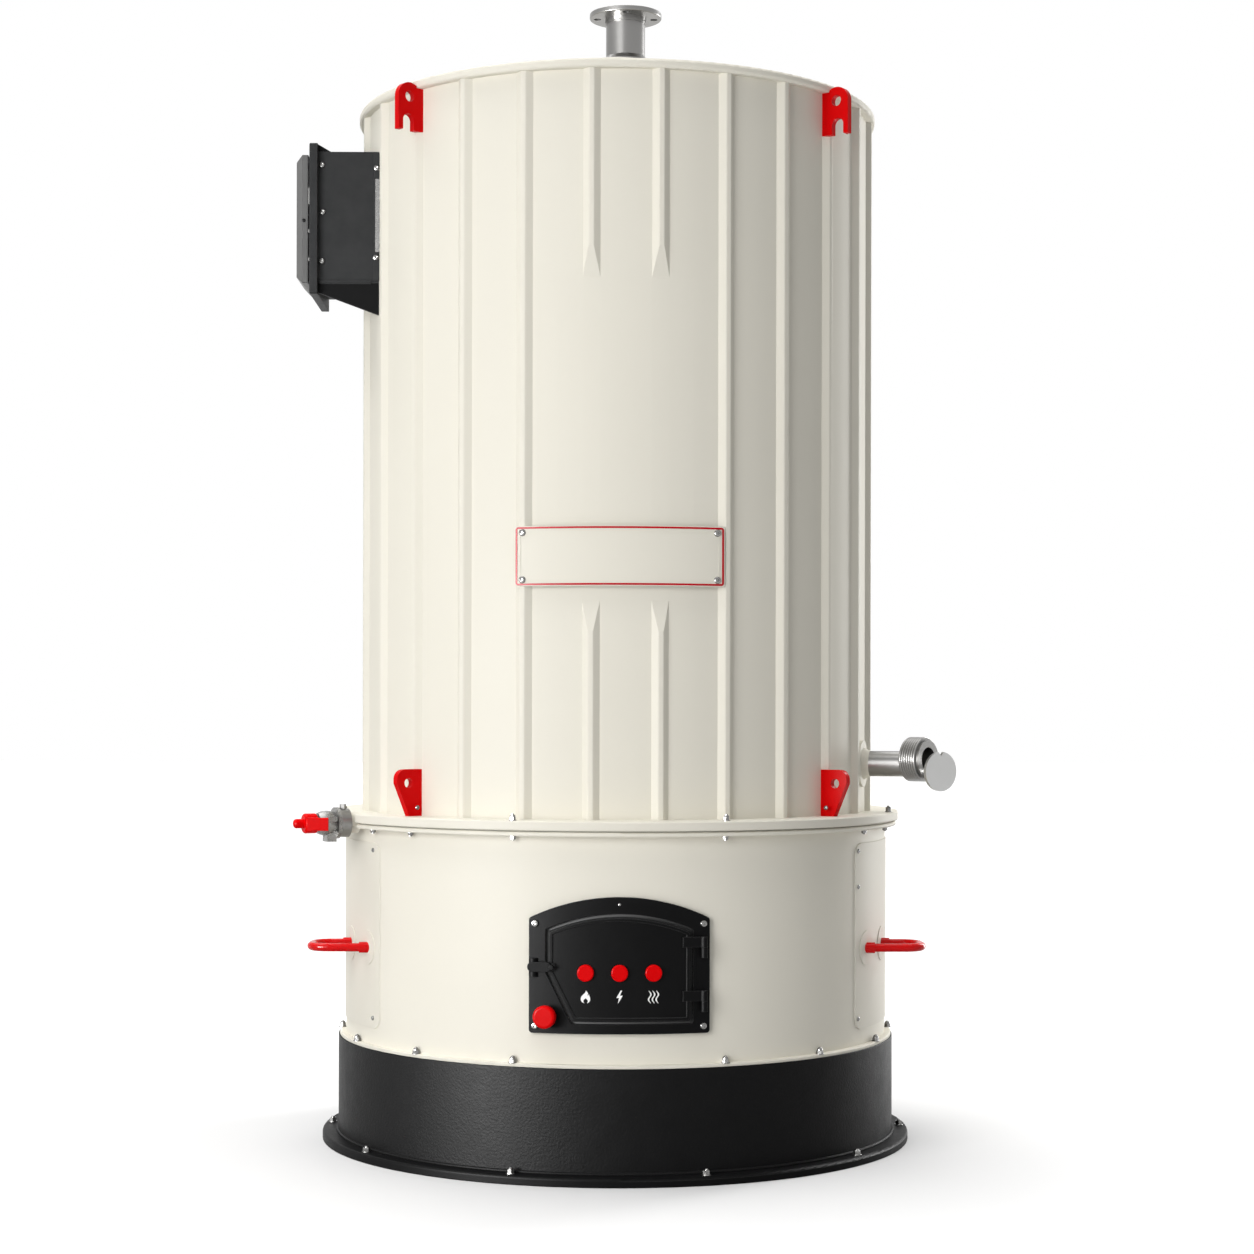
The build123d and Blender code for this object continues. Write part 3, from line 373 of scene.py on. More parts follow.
def axes_place(origin, across, up, out):
    """Place with its own three directions."""
    rows = [(across[i], up[i], out[i], origin[i]) for i in range(3)]
    return Matrix((*rows, (0, 0, 0, 1)))


def wall_place(angle, radius, height):
    """Place on a round wall: x along it, y up and z outward."""
    origin = outward(angle) * radius + Vector((0, 0, height))
    return axes_place(origin, sideways(angle), Vector((0, 0, 1)), outward(angle))


def across_place(across, radius, height):
    """Place on a round wall in front, by its distance from the middle."""
    return wall_place(degrees(asin(across / radius)), radius, height)


def floor_place(angle, radius, height, upward=1):
    """Place on a level plate, with z up or down."""
    origin = outward(angle) * radius + Vector((0, 0, height))
    up = Vector((0, 0, upward))
    return axes_place(origin, sideways(angle) * upward, outward(angle) * -1, up)


def front_place(depth):
    """Place on a flat front: x across, y up and z towards the viewer."""
    return axes_place(Vector((0, depth, 0)), Vector((1, 0, 0)), Vector((0, 0, 1)), Vector((0, -1, 0)))


def turned(form, place, profile, sides=24):
    """Turned form from its foot up to its crown."""
    rings = []
    for radius, rise in profile:
        turns = [tau * i / sides for i in range(sides if radius else 1)]
        rings.append([
            form.verts.new(place @ Vector((radius * cos(turn), radius * sin(turn), rise))) for turn in turns
        ])
    for low, high in zip(rings, rings[1:]):
        for i in range(sides):
            j = (i + 1) % sides
            if len(high) == 1:
                form.faces.new((low[i], low[j], high[0]))
            else:
                form.faces.new((low[i], low[j], high[j], high[i]))


def sized(outline, radius, height):
    """Outline of a head brought to its size."""
    return [(radius * reach, height * rise) for reach, rise in outline]


def arched(radius, low, high, steps):
    """Quarter round outline that closes over the middle."""
    lifts = [pi / 2 * step / steps for step in range(steps)]
    return [(radius * cos(lift), low + (high - low) * sin(lift)) for lift in lifts] + [(0, high)]


def washer(form, place, radius, thickness):
    """Flat washer with a broken edge."""
    edge = thickness * WASHER_EDGE
    turned(form, place, [(radius, 0), (radius, thickness - edge), (radius - edge, thickness), (0, thickness)])


def hex_bolt(form, place, radius, height):
    """Hexagon head on a washer, with a bevelled crown and the end of its thread."""
    head = sized(HEX_HEAD, radius, height)
    washer(form, place, radius * HEX_WASHER, head[0][1])
    turned(form, place, head, sides=6)
    turned(form, place, sized(THREAD_END, radius, height))


def cap_nut(form, place, radius, height):
    """Hexagon nut with a domed cap, on a washer."""
    head = sized(NUT_HEAD, radius, height)
    washer(form, place, radius * NUT_WASHER, head[0][1])
    turned(form, place, head, sides=6)
    foot, shoulder = sized(NUT_DOME, radius, height)
    turned(form, place, [foot, *arched(*shoulder, height, 6)])


def pan_screw(form, place, radius, height):
    """Domed screw head with a round socket."""
    turned(form, place, sized(PAN_HEAD, radius, height))


def rivet(form, place, radius, height):
    """Low domed rivet head."""
    turned(form, place, [(radius, 0), *arched(radius, height * RIVET_RIM, height, 5)])


def bead_ring(form, radius, height, thickness, sides=180, section=10):
    """Round bead lying round the axis."""
    loops = []
    for i in range(sides):
        turn = tau * i / sides
        loop = []
        for j in range(section):
            lift = tau * j / section
            reach = radius + thickness * cos(lift)
            rise = height + thickness * sin(lift)
            loop.append(form.verts.new((reach * cos(turn), reach * sin(turn), rise)))
        loops.append(loop)
    for i in range(sides):
        here, there = loops[i], loops[(i + 1) % sides]
        for j in range(section):
            k = (j + 1) % section
            form.faces.new((here[j], there[j], there[k], here[k]))


def bent_strip(form, rims, thickness, to_place):
    """Closed flat strip between two rims of flat points, laid on a surface with a thickness."""
    inner, outer = rims
    count = len(inner)
    layers = []
    for lift in (0, thickness):
        layers.append((
            [form.verts.new(to_place(x, z, lift)) for x, z in inner],
            [form.verts.new(to_place(x, z, lift)) for x, z in outer],
        ))
    (low_in, low_out), (top_in, top_out) = layers
    for i in range(count):
        j = (i + 1) % count
        form.faces.new((top_in[i], top_out[i], top_out[j], top_in[j]))
        form.faces.new((low_out[i], low_out[j], top_out[j], top_out[i]))
        form.faces.new((low_in[j], low_in[i], top_in[i], top_in[j]))


def rounded_rectangle(width, height, corner, steps=6, side_steps=24):
    """Flat points round a rectangle with round corners, with many points along its long sides."""
    points = []
    corners = [(1, 1, 0), (-1, 1, 90), (-1, -1, 180), (1, -1, 270)]
    for number, (sx, sz, start) in enumerate(corners):
        cx, cz = sx * (width / 2 - corner), sz * (height / 2 - corner)
        for step in range(steps + 1):
            turn = radians(start + 90 * step / steps)
            points.append((cx + corner * cos(turn), cz + corner * sin(turn)))
        if number in (0, 2):
            run = width - 2 * corner
            for step in range(1, side_steps):
                x = cx - sx * run * step / side_steps
                points.append((x, sz * height / 2))
    return points


def box_form(form, low, high, bevel):
    """Block with broken edges."""
    made = bmesh.ops.create_cube(form, size=1)["verts"]
    for vert in made:
        for i in range(3):
            vert.co[i] = (low[i] + high[i]) / 2 + vert.co[i] * (high[i] - low[i])
    edges = dict.fromkeys(edge for vert in made for edge in vert.link_edges)
    bmesh.ops.bevel(form, geom=list(edges), offset=bevel, segments=2, affect="EDGES")


def front_block(form, front, low, high, bevel):
    """Block on a flat front, with its depths measured from there."""
    box_form(form, (low[0], front + low[1], low[2]), (high[0], front + high[1], high[2]), bevel)


def make_piece(form, name, finish, body):
    """Turn a form in millimetres into a piece that rides on a body."""
    form.transform(Matrix.Scale(MM, 4))
    bmesh.ops.recalc_face_normals(form, faces=form.faces)
    mesh = bpy.data.meshes.new(name)
    form.to_mesh(mesh)
    form.free()
    mesh.polygons.foreach_set("use_smooth", [True] * len(mesh.polygons))
    mesh.set_sharp_from_angle(angle=radians(SHARP_ANGLE))
    mesh.materials.append(finish_named(finish))
    piece = bpy.data.objects.new(name, mesh)
    bpy.context.scene.collection.objects.link(piece)
    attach(piece, body)


# Finishes


def finish_named(name):
    """A finish that has been mixed already."""
    found = bpy.data.materials.get(name)
    if found is None:
        raise RuntimeError(f"mix the finishes first: there is no {name}")
    return found


def effect_group(name, inputs, outputs):
    """Empty effect with its named sockets."""
    group = bpy.data.node_groups.new(name, "ShaderNodeTree")
    for label, kind, default in inputs:
        socket = group.interface.new_socket(name=label, in_out="INPUT", socket_type=kind)
        socket.default_value = default
    for label, kind in outputs:
        group.interface.new_socket(name=label, in_out="OUTPUT", socket_type=kind)
    start = group.nodes.new("NodeGroupInput")
    end = group.nodes.new("NodeGroupOutput")
    return group, start, end


def add_node(tree, kind, inputs=None, **settings):
    """Node with its settings; an input is a value or another node's output."""
    node = tree.nodes.new(kind)
    for key, value in settings.items():
        setattr(node, key, value)
    for key, value in (inputs or {}).items():
        if isinstance(value, bpy.types.NodeSocket):
            tree.links.new(value, node.inputs[key])
        else:
            node.inputs[key].default_value = value
    return node


def calculate(tree, operation, *values, clamp=False):
    """Outcome of a sum; each value is a number or another node's output."""
    node = add_node(tree, "ShaderNodeMath", dict(enumerate(values)), operation=operation, use_clamp=clamp)
    return node.outputs[0]


def noise(tree, scale, detail, roughness, place=None):
    """Clouds in a piece's own measure, or in the place that is given."""
    if place is None:
        place = add_node(tree, "ShaderNodeTexCoord").outputs["Object"]
    clouds = add_node(
        tree, "ShaderNodeTexNoise",
        {"Vector": place, "Scale": scale, "Detail": detail, "Roughness": roughness},
    )
    return clouds.outputs["Fac"]


def mix_colours(tree, share, first, second):
    """Mix of two colours; the Mix node's colour sockets go by number, because their names repeat."""
    node = add_node(tree, "ShaderNodeMix", {"Factor": share, 6: first, 7: second}, data_type="RGBA")
    return node.outputs[2]


def mix_values(tree, share, first, second):
    """Mix of two values."""
    node = add_node(tree, "ShaderNodeMix", {"Factor": share, 2: first, 3: second}, data_type="FLOAT")
    return node.outputs[0]


def build_colour_drift():
    """Colour that drifts paler and darker in clouds."""
    group, start, end = effect_group(
        "colour_drift",
        [("Colour", COLOUR, (1, 1, 1, 1)), ("Amount", VALUE, 0.05), ("Scale", VALUE, 3.0)],
        [("Colour", COLOUR)],
    )
    centred = calculate(group, "SUBTRACT", noise(group, start.outputs["Scale"], 4.0, 0.55), 0.5)
    lift = calculate(group, "MULTIPLY_ADD", centred, start.outputs["Amount"], 1.0)
    shade = add_node(group, "ShaderNodeHueSaturation", {"Color": start.outputs["Colour"], "Value": lift})
    group.links.new(shade.outputs["Color"], end.inputs["Colour"])


def build_orange_peel():
    """Soft waves with a finer grain on them."""
    group, start, end = effect_group(
        "orange_peel",
        [("Scale", VALUE, 160.0), ("Grain", VALUE, 0.3)],
        [("Height", VALUE)],
    )
    waves = noise(group, start.outputs["Scale"], 1.5, 0.4)
    finer = calculate(group, "MULTIPLY", start.outputs["Scale"], 4.0)
    grit = noise(group, finer, 2.0, 0.6)
    both = calculate(group, "MULTIPLY_ADD", grit, start.outputs["Grain"], waves)
    group.links.new(both, end.inputs["Height"])


def build_gloss_drift():
    """Roughness that drifts in clouds."""
    group, start, end = effect_group(
        "gloss_drift",
        [("Roughness", VALUE, 0.4), ("Amount", VALUE, 0.1), ("Scale", VALUE, 12.0)],
        [("Roughness", VALUE)],
    )
    centred = calculate(group, "SUBTRACT", noise(group, start.outputs["Scale"], 5.0, 0.6), 0.5)
    moved = calculate(
        group, "MULTIPLY_ADD", centred, start.outputs["Amount"], start.outputs["Roughness"], clamp=True,
    )
    group.links.new(moved, end.inputs["Roughness"])


def build_brush_lines():
    """Fine lines along the two directions with the smaller stretch."""
    group, start, end = effect_group(
        "brush_lines",
        [("Stretch", VECTOR, (4.0, 4.0, 900.0))],
        [("Height", VALUE)],
    )
    place = add_node(group, "ShaderNodeTexCoord")
    laid = add_node(
        group, "ShaderNodeVectorMath",
        {0: place.outputs["Object"], 1: start.outputs["Stretch"]}, operation="MULTIPLY",
    )
    lines = noise(group, 1.0, 4.0, 0.65, laid.outputs[0])
    group.links.new(lines, end.inputs["Height"])


def build_rubbed_edge_shine():
    """Another colour where edges are rubbed, which is wear and also a painted highlight, and a normal that
    rounds them.
    """
    group, start, end = effect_group(
        "rubbed_edge_shine",
        [("Colour", COLOUR, (0, 0, 0, 1)), ("Worn", COLOUR, (0.1, 0.1, 0.1, 1)), ("Radius", VALUE, 0.002)],
        [("Colour", COLOUR), ("Normal", VECTOR)],
    )
    rounded = add_node(group, "ShaderNodeBevel", {"Radius": start.outputs["Radius"]}, samples=4)
    surface = add_node(group, "ShaderNodeNewGeometry")
    match = add_node(
        group, "ShaderNodeVectorMath",
        {0: rounded.outputs["Normal"], 1: surface.outputs["Normal"]}, operation="DOT_PRODUCT",
    )
    rubbed_shine = add_node(
        group, "ShaderNodeMapRange",
        {"Value": match.outputs["Value"], "From Min": WEAR_SHINE_START, "From Max": WEAR_SHINE_FULL},
    )
    shade = mix_colours(group, rubbed_shine.outputs[0], start.outputs["Colour"], start.outputs["Worn"])
    group.links.new(shade, end.inputs["Colour"])
    group.links.new(rounded.outputs["Normal"], end.inputs["Normal"])


def build_soot_inside():
    """Painted shade within a radius of the axis, which darkens the drum's inside."""
    group, start, end = effect_group(
        "soot_inside",
        [("Colour", COLOUR, (1, 1, 1, 1)), ("Soot", COLOUR, (0.02, 0.02, 0.02, 1)), ("Radius", VALUE, 0.5)],
        [("Colour", COLOUR)],
    )
    place = add_node(group, "ShaderNodeTexCoord")
    level = add_node(
        group, "ShaderNodeVectorMath",
        {0: place.outputs["Object"], 1: (1.0, 1.0, 0.0)}, operation="MULTIPLY",
    )
    reach = add_node(group, "ShaderNodeVectorMath", {0: level.outputs[0]}, operation="LENGTH")
    inside = calculate(group, "LESS_THAN", reach.outputs["Value"], start.outputs["Radius"])
    shade = mix_colours(group, inside, start.outputs["Colour"], start.outputs["Soot"])
    group.links.new(shade, end.inputs["Colour"])


def effect(tree, name, **inputs):
    """A shared effect placed in a finish with its own values."""
    return add_node(tree, "ShaderNodeGroup", inputs, node_tree=bpy.data.node_groups[name])


def mix_finish(
    name, colour, drift, roughness, gloss, bump,
    metallic=0.0, specular=0.5, brush=None, peel=None, wear_shine=None, soot=None,
):
    """Finish whose colour, gloss and relief change over the surface.

    drift and gloss hold an amount and a scale, bump a strength and a distance, peel a scale and its grain,
    wear_shine (wear and a painted highlight on edges) and soot (painted shade inside the drum) a colour and a
    radius, and brush its stretch.
    """
    finish = bpy.data.materials.new(name)
    finish.use_nodes = True
    finish.diffuse_color = (*colour, 1)
    tree = finish.node_tree
    tree.nodes.clear()
    surface = add_node(
        tree, "ShaderNodeBsdfPrincipled", {"Metallic": metallic, "Specular IOR Level": specular},
    )
    end = add_node(tree, "ShaderNodeOutputMaterial")
    tree.links.new(surface.outputs["BSDF"], end.inputs["Surface"])
    tint = effect(tree, "colour_drift", Colour=(*colour, 1), Amount=drift[0], Scale=drift[1])
    shade = tint.outputs["Colour"]
    # Painted shade on the inside of the drum.
    if soot:
        inside = effect(tree, "soot_inside", Colour=shade, Soot=(*soot[0], 1), Radius=soot[1])
        shade = inside.outputs["Colour"]
    # Rubbed edges: wear, and a painted highlight along them.
    if wear_shine:
        edges = effect(tree, "rubbed_edge_shine", Colour=shade, Worn=(*wear_shine[0], 1), Radius=wear_shine[1])
        shade = edges.outputs["Colour"]
    tree.links.new(shade, surface.inputs["Base Color"])
    sheen = effect(tree, "gloss_drift", Roughness=roughness, Amount=gloss[0], Scale=gloss[1])
    tree.links.new(sheen.outputs["Roughness"], surface.inputs["Roughness"])
    if brush:
        relief = effect(tree, "brush_lines", Stretch=brush)
    else:
        relief = effect(tree, "orange_peel", Scale=peel[0], Grain=peel[1])
    raised = add_node(
        tree, "ShaderNodeBump",
        {"Height": relief.outputs["Height"], "Strength": bump[0], "Distance": bump[1]},
    )
    if wear_shine:
        tree.links.new(edges.outputs["Normal"], raised.inputs["Normal"])
    tree.links.new(raised.outputs["Normal"], surface.inputs["Normal"])


class BOILER_OT_finishes(Operator):
    """Mix the finishes and put them on the CAD pieces"""

    bl_idname = "boiler.finishes"
    bl_label = "Finishes"

    def execute(self, context):
        tone = context.scene.boiler_finishes
        build_colour_drift()
        build_orange_peel()
        build_gloss_drift()
        build_brush_lines()
        build_rubbed_edge_shine()
        build_soot_inside()
        mix_finish(
            "cream_enamel", tone.cream, (0.05, 2.2), 0.4, (0.12, 9.0), (0.05, 0.0004),
            peel=(170.0, 0.2), specular=0.015,
        )
        # The drum's inside gets a painted shade.
        mix_finish(
            "drum_enamel", tone.drum_cream, (0.06, 2.6), 0.42, (0.14, 14.0), (0.16, 0.0005),
            peel=(120.0, 0.35), soot=(tone.soot, (DRUM_RADIUS - PAINTED_SHADE_DEPTH) * MM), specular=0.02,
        )
        mix_finish(
            "powder_coat", tone.black, (0.5, 18.0), 0.44, (0.16, 30.0), (0.22, 0.0005),
            peel=(420.0, 0.5), wear_shine=(tone.wear_shine, 0.0022), specular=0.038,
        )
        # Lighter black for the control box, painted light on its flat front.
        mix_finish(
            "box_lit_coat", tone.box_lit_black, (0.5, 26.0), 0.46, (0.14, 40.0), (0.3, 0.0005),
            peel=(520.0, 0.6), wear_shine=(tone.wear_shine, 0.002), specular=0.04,
        )
        # Cover grey, partly a painted highlight.
        mix_finish(
            "cover_coat_and_sheen", tone.cover_grey_and_sheen, (0.3, 14.0), 0.4, (0.14, 40.0), (0.2, 0.0004),
            peel=(520.0, 0.6), wear_shine=(tone.wear_shine, 0.004), specular=0.1,
        )
        mix_finish(
            "leather_coat", tone.black, (0.5, 24.0), 0.47, (0.18, 26.0), (0.45, 0.0009),
            peel=(240.0, 0.5), specular=0.06,
        )
        mix_finish(
            "red_enamel", tone.red, (0.12, 14.0), 0.24, (0.1, 22.0), (0.04, 0.0004),
            peel=(240.0, 0.2), specular=0.04,
        )
        mix_finish(
            "handle_enamel", tone.red, (0.12, 14.0), 0.16, (0.06, 22.0), (0.03, 0.0003),
            peel=(240.0, 0.2), specular=0.12,
        )
        mix_finish(
            "button_plastic", tone.red_plastic, (0.1, 40.0), 0.28, (0.1, 60.0), (0.04, 0.0003),
            peel=(600.0, 0.4), specular=0.03,
        )
        mix_finish(
            "brushed_steel", tone.steel, (0.08, 12.0), 0.31, (0.06, 30.0), (0.03, 0.0002),
            metallic=1.0, brush=(6.0, 6.0, 1400.0),
        )
        # Brighter steel for the cap's face, a painted reflection.
        mix_finish(
            "cap_lit_face", tone.cap_lit_steel, (0.06, 20.0), 0.34, (0.08, 40.0), (0.03, 0.0002),
            metallic=1.0, brush=(6.0, 6.0, 1400.0),
        )
        mix_finish(
            "gasket_fibre", tone.gasket, (0.2, 40.0), 0.8, (0.1, 60.0), (0.2, 0.0004),
            peel=(500.0, 0.5), specular=0.05,
        )
        mix_finish(
            "bright_steel", tone.fastener, (0.18, 60.0), 0.26, (0.16, 140.0), (0.05, 0.0002),
            metallic=1.0, brush=(500.0, 500.0, 500.0),
        )
        mix_finish(
            "cast_body", tone.casting, (0.6, 90.0), 0.28, (0.22, 90.0), (0.6, 0.0012),
            metallic=1.0, peel=(300.0, 0.5),
        )
        mix_finish(
            "rubber_seal", tone.seal, (0.3, 60.0), 0.7, (0.15, 60.0), (0.2, 0.0004),
            peel=(500.0, 0.5),
        )
        mix_finish(
            "collar_plastic", tone.black, (0.3, 60.0), 0.4, (0.12, 80.0), (0.1, 0.0003),
            peel=(900.0, 0.5), specular=0.1,
        )
        mix_finish(
            "white_print", tone.white_print, (0.08, 200.0), 0.5, (0.1, 200.0), (0.1, 0.0002),
            peel=(900.0, 0.5),
        )
        mix_finish(
            "red_print", tone.red_print, (0.12, 80.0), 0.36, (0.1, 100.0), (0.06, 0.0002),
            peel=(600.0, 0.4), specular=0.12,
        )
        by_slot = {
            "cream_paint": "cream_enamel", "black_coat": "powder_coat", "red_paint": "red_enamel",
            "steel": "brushed_steel", "cast_steel": "cast_body", "seal": "rubber_seal",
            "red_plastic": "button_plastic", "black_plastic": "collar_plastic",
        }
        # The control box's brackets are left out here and keep the darker powder coat, a painted shade under
        # the box.
        by_node = {
            "base_skirt": "leather_coat", "left_handle": "handle_enamel", "right_handle": "handle_enamel",
            "control_box": "box_lit_coat", "control_box_frame": "box_lit_coat", "control_box_cover": "cover_coat_and_sheen",
            "outlet_cap": "cap_lit_face", "flange_gasket": "gasket_fibre",
        }
        for row in frame["record"]["subparts"]:
            node = row["node"]
            finish = by_node.get(node) or by_slot[row["material_slot"]]
            if node.startswith("drum_"):
                finish = "drum_enamel"
            mesh = frame["nodes"][node].data
            mesh.materials.clear()
            mesh.materials.append(finish_named(finish))
        return {"FINISHED"}


class BOILER_OT_anchor_bolts(Operator):
    """Bolts in the holes of the base flange, and the weld at the foot of the skirt"""

    bl_idname = "boiler.anchor_bolts"
    bl_label = "Anchor Bolts"

    def execute(self, context):
        sizes = context.scene.boiler_fasteners
        form = bmesh.new()
        step = 360 / sizes.anchor_count
        for number in range(sizes.anchor_count):
            place = floor_place(ANCHOR_TURN + number * step, ANCHOR_CIRCLE, FLANGE_TOP)
            hex_bolt(form, place, sizes.anchor_radius / MM, ANCHOR_HEAD)
        make_piece(form, "anchor_bolts", "bright_steel", "boiler")
        form = bmesh.new()
        bead_ring(form, SKIRT_WELD_RADIUS, FLANGE_TOP + WELD_RISE, WELD_THICKNESS)
        make_piece(form, "skirt_weld", "powder_coat", "boiler")
        return {"FINISHED"}


class BOILER_OT_rim_bolts(Operator):
    """Cap nuts round the foot of the drum, and the bolts through the tube plate"""

    bl_idname = "boiler.rim_bolts"
    bl_label = "Rim Bolts"

    def execute(self, context):
        sizes = context.scene.boiler_fasteners
        start, step = degrees(sizes.rim_start), degrees(sizes.rim_step)
        count = int((180 - start) / step)
        angles = [side * (start + number * step) for number in range(count) for side in (-1, 1)] + [180]
        radius = sizes.rim_radius / MM
        form = bmesh.new()
        for angle in angles:
            place = floor_place(angle, DRUM_RADIUS + FOOT_NUT_REACH, FOOT_TOP)
            cap_nut(form, place, radius * FOOT_NUT_SHARE, FOOT_NUT_HEAD)
        make_piece(form, "foot_cap_nuts", "bright_steel", "boiler")
        form = bmesh.new()
        rear = [angle for angle in angles if abs(angle) > 90]
        for angle in (*TUBE_BOLT_ANGLES, *rear):
            place = floor_place(angle, DRUM_RADIUS + TUBE_BOLT_REACH, TUBE_PLATE_TOP)
            hex_bolt(form, place, radius * TUBE_BOLT_SHARE, TUBE_BOLT_HEAD)
        for angle in (*RING_BOLT_ANGLES, *rear):
            place = floor_place(angle, DRUM_RADIUS + RING_BOLT_REACH, TOP_RING_BOTTOM, -1)
            hex_bolt(form, place, radius * RING_BOLT_SHARE, RING_BOLT_HEAD)
        make_piece(form, "tube_plate_bolts", "bright_steel", "boiler")
        return {"FINISHED"}


class BOILER_OT_sheet_screws(Operator):
    """Screws of the access panels, the lower lugs and the fire door's frame"""

    bl_idname = "boiler.sheet_screws"
    bl_label = "Sheet Screws"

    def execute(self, context):
        sizes = context.scene.boiler_fasteners
        small = sizes.small_screw_radius / MM
        radius = sizes.screw_radius / MM
        form = bmesh.new()
        for angle, heights in PANEL_SCREWS:
            for height in heights:
                pan_screw(form, wall_place(angle, PANEL_RADIUS, height), small, PANEL_SCREW_HEAD)
        make_piece(form, "access_panel_screws", "bright_steel", "boiler")
        form = bmesh.new()
        for across in (-FRAME_SCREW_ACROSS, FRAME_SCREW_ACROSS):
            for height in FRAME_SCREW_HEIGHTS:
                pan_screw(form, across_place(across, FRAME_RADIUS, height), radius, FRAME_SCREW_HEAD)
        rivet(form, across_place(0, FRAME_RADIUS, FRAME_RIVET_HEIGHT), *FRAME_RIVET_SIZE)
        make_piece(form, "door_frame_screws", "bright_steel", "boiler")
        form = bmesh.new()
        up = Vector((0, 0, 1))
        for rib in LOWER_LUG_RIBS:
            angle = RIB_TURN + rib * RIB_PITCH
            towards = 1 if (angle < 0) == (abs(angle) < 90) else -1
            face = sideways(angle) * towards
            origin = outward(angle) * (JACKET_RADIUS + LUG_SCREW_REACH)
            origin += face * (RIB_FLANK + LUG_THICKNESS) + up * LUG_SCREW_HEIGHT
            pan_screw(form, axes_place(origin, face.cross(up) * -1, up, face), small, LUG_SCREW_HEAD)
        make_piece(form, "lower_lug_screws", "bright_steel", "boiler")
        return {"FINISHED"}


class BOILER_OT_name_plate(Operator):
    """Border and screws of the bare plate"""

    bl_idname = "boiler.name_plate"
    bl_label = "Plate Border"

    def execute(self, context):
        width, height = PLATE_SIZE
        screw = context.scene.boiler_fasteners.screw_radius / MM

        def on_plate(x, z, lift):
            out = outward(degrees(asin(x / PLATE_RADIUS)))
            return out * (PLATE_RADIUS + lift) + Vector((0, 0, PLATE_HEIGHT + z))

        def inset_rim(inset, corner):
            return rounded_rectangle(width - 2 * inset, height - 2 * inset, corner)

        form = bmesh.new()
        rims = [inset_rim(inset, PLATE_CORNER - inset) for inset in BORDER_INSETS]
        bent_strip(form, rims, BORDER_THICKNESS, on_plate)
        make_piece(form, "plate_border", "red_print", "boiler")
        form = bmesh.new()
        rims = [inset_rim(inset, BEAD_CORNER) for inset in BEAD_INSETS]
        bent_strip(form, rims, BEAD_THICKNESS, on_plate)
        make_piece(form, "plate_bead", "cream_enamel", "boiler")
        form = bmesh.new()
        for across in (-PLATE_SCREW_ACROSS, PLATE_SCREW_ACROSS):
            for rise in (-PLATE_SCREW_RISE, PLATE_SCREW_RISE):
                place = across_place(across, PLATE_RADIUS, PLATE_HEIGHT + rise)
                pan_screw(form, place, screw, PLATE_SCREW_HEAD)
        make_piece(form, "plate_screws", "bright_steel", "boiler")
        return {"FINISHED"}


def door_outline(grow):
    """Flat points round the fire door, moved outward by a distance."""
    half, bottom, top = DOOR_HALF, DOOR_BOTTOM, DOOR_SHOULDER
    arch_radius = (half * half + DOOR_ARCH * DOOR_ARCH) / (2 * DOOR_ARCH)
    cut, cut_height = DOOR_CUT
    cut_steps, bottom_steps, arch_steps = 6, 18, 24
    points = [(-half, top)]
    for step in range(cut_steps):
        share = step / cut_steps
        points.append((-half + cut * share, bottom + cut_height * (1 - share)))
    for step in range(bottom_steps + 1):
        points.append((cut - half + (2 * half - cut) * step / bottom_steps, bottom))
    points.append((half, top))
    for step in range(1, arch_steps):
        x = half - 2 * half * step / arch_steps
        points.append((x, top + DOOR_ARCH - arch_radius + (arch_radius * arch_radius - x * x) ** 0.5))
    moved = []
    for number, point in enumerate(points):
        here = Vector(point)
        before = (here - Vector(points[number - 1])).normalized()
        after = (Vector(points[(number + 1) % len(points)]) - here).normalized()
        normals = [Vector((run.y, -run.x)) for run in (before, after)]
        bisector = (normals[0] + normals[1]).normalized()
        moved.append(here + bisector * (grow / bisector.dot(normals[0])))
    return moved


class BOILER_OT_door_gap_shade(Operator):
    """Dark strip on the drum in the gap round the fire door, a painted shade for that gap"""

    bl_idname = "boiler.door_seal"
    bl_label = "Door Gap Shade"

    def execute(self, context):
        def on_drum(x, z, lift):
            radius = DRUM_RADIUS + SURFACE_GAP + lift
            return outward(degrees(asin(x / radius))) * radius + Vector((0, 0, z))

        form = bmesh.new()
        # Painted shade laid on the drum in the gap round the fire door.
        bent_strip(form, (door_outline(GAP_SHADE_INNER), door_outline(GAP_SHADE_OUTER)), GAP_SHADE_THICKNESS, on_drum)
        make_piece(form, "door_seal", "rubber_seal", "boiler")
        return {"FINISHED"}


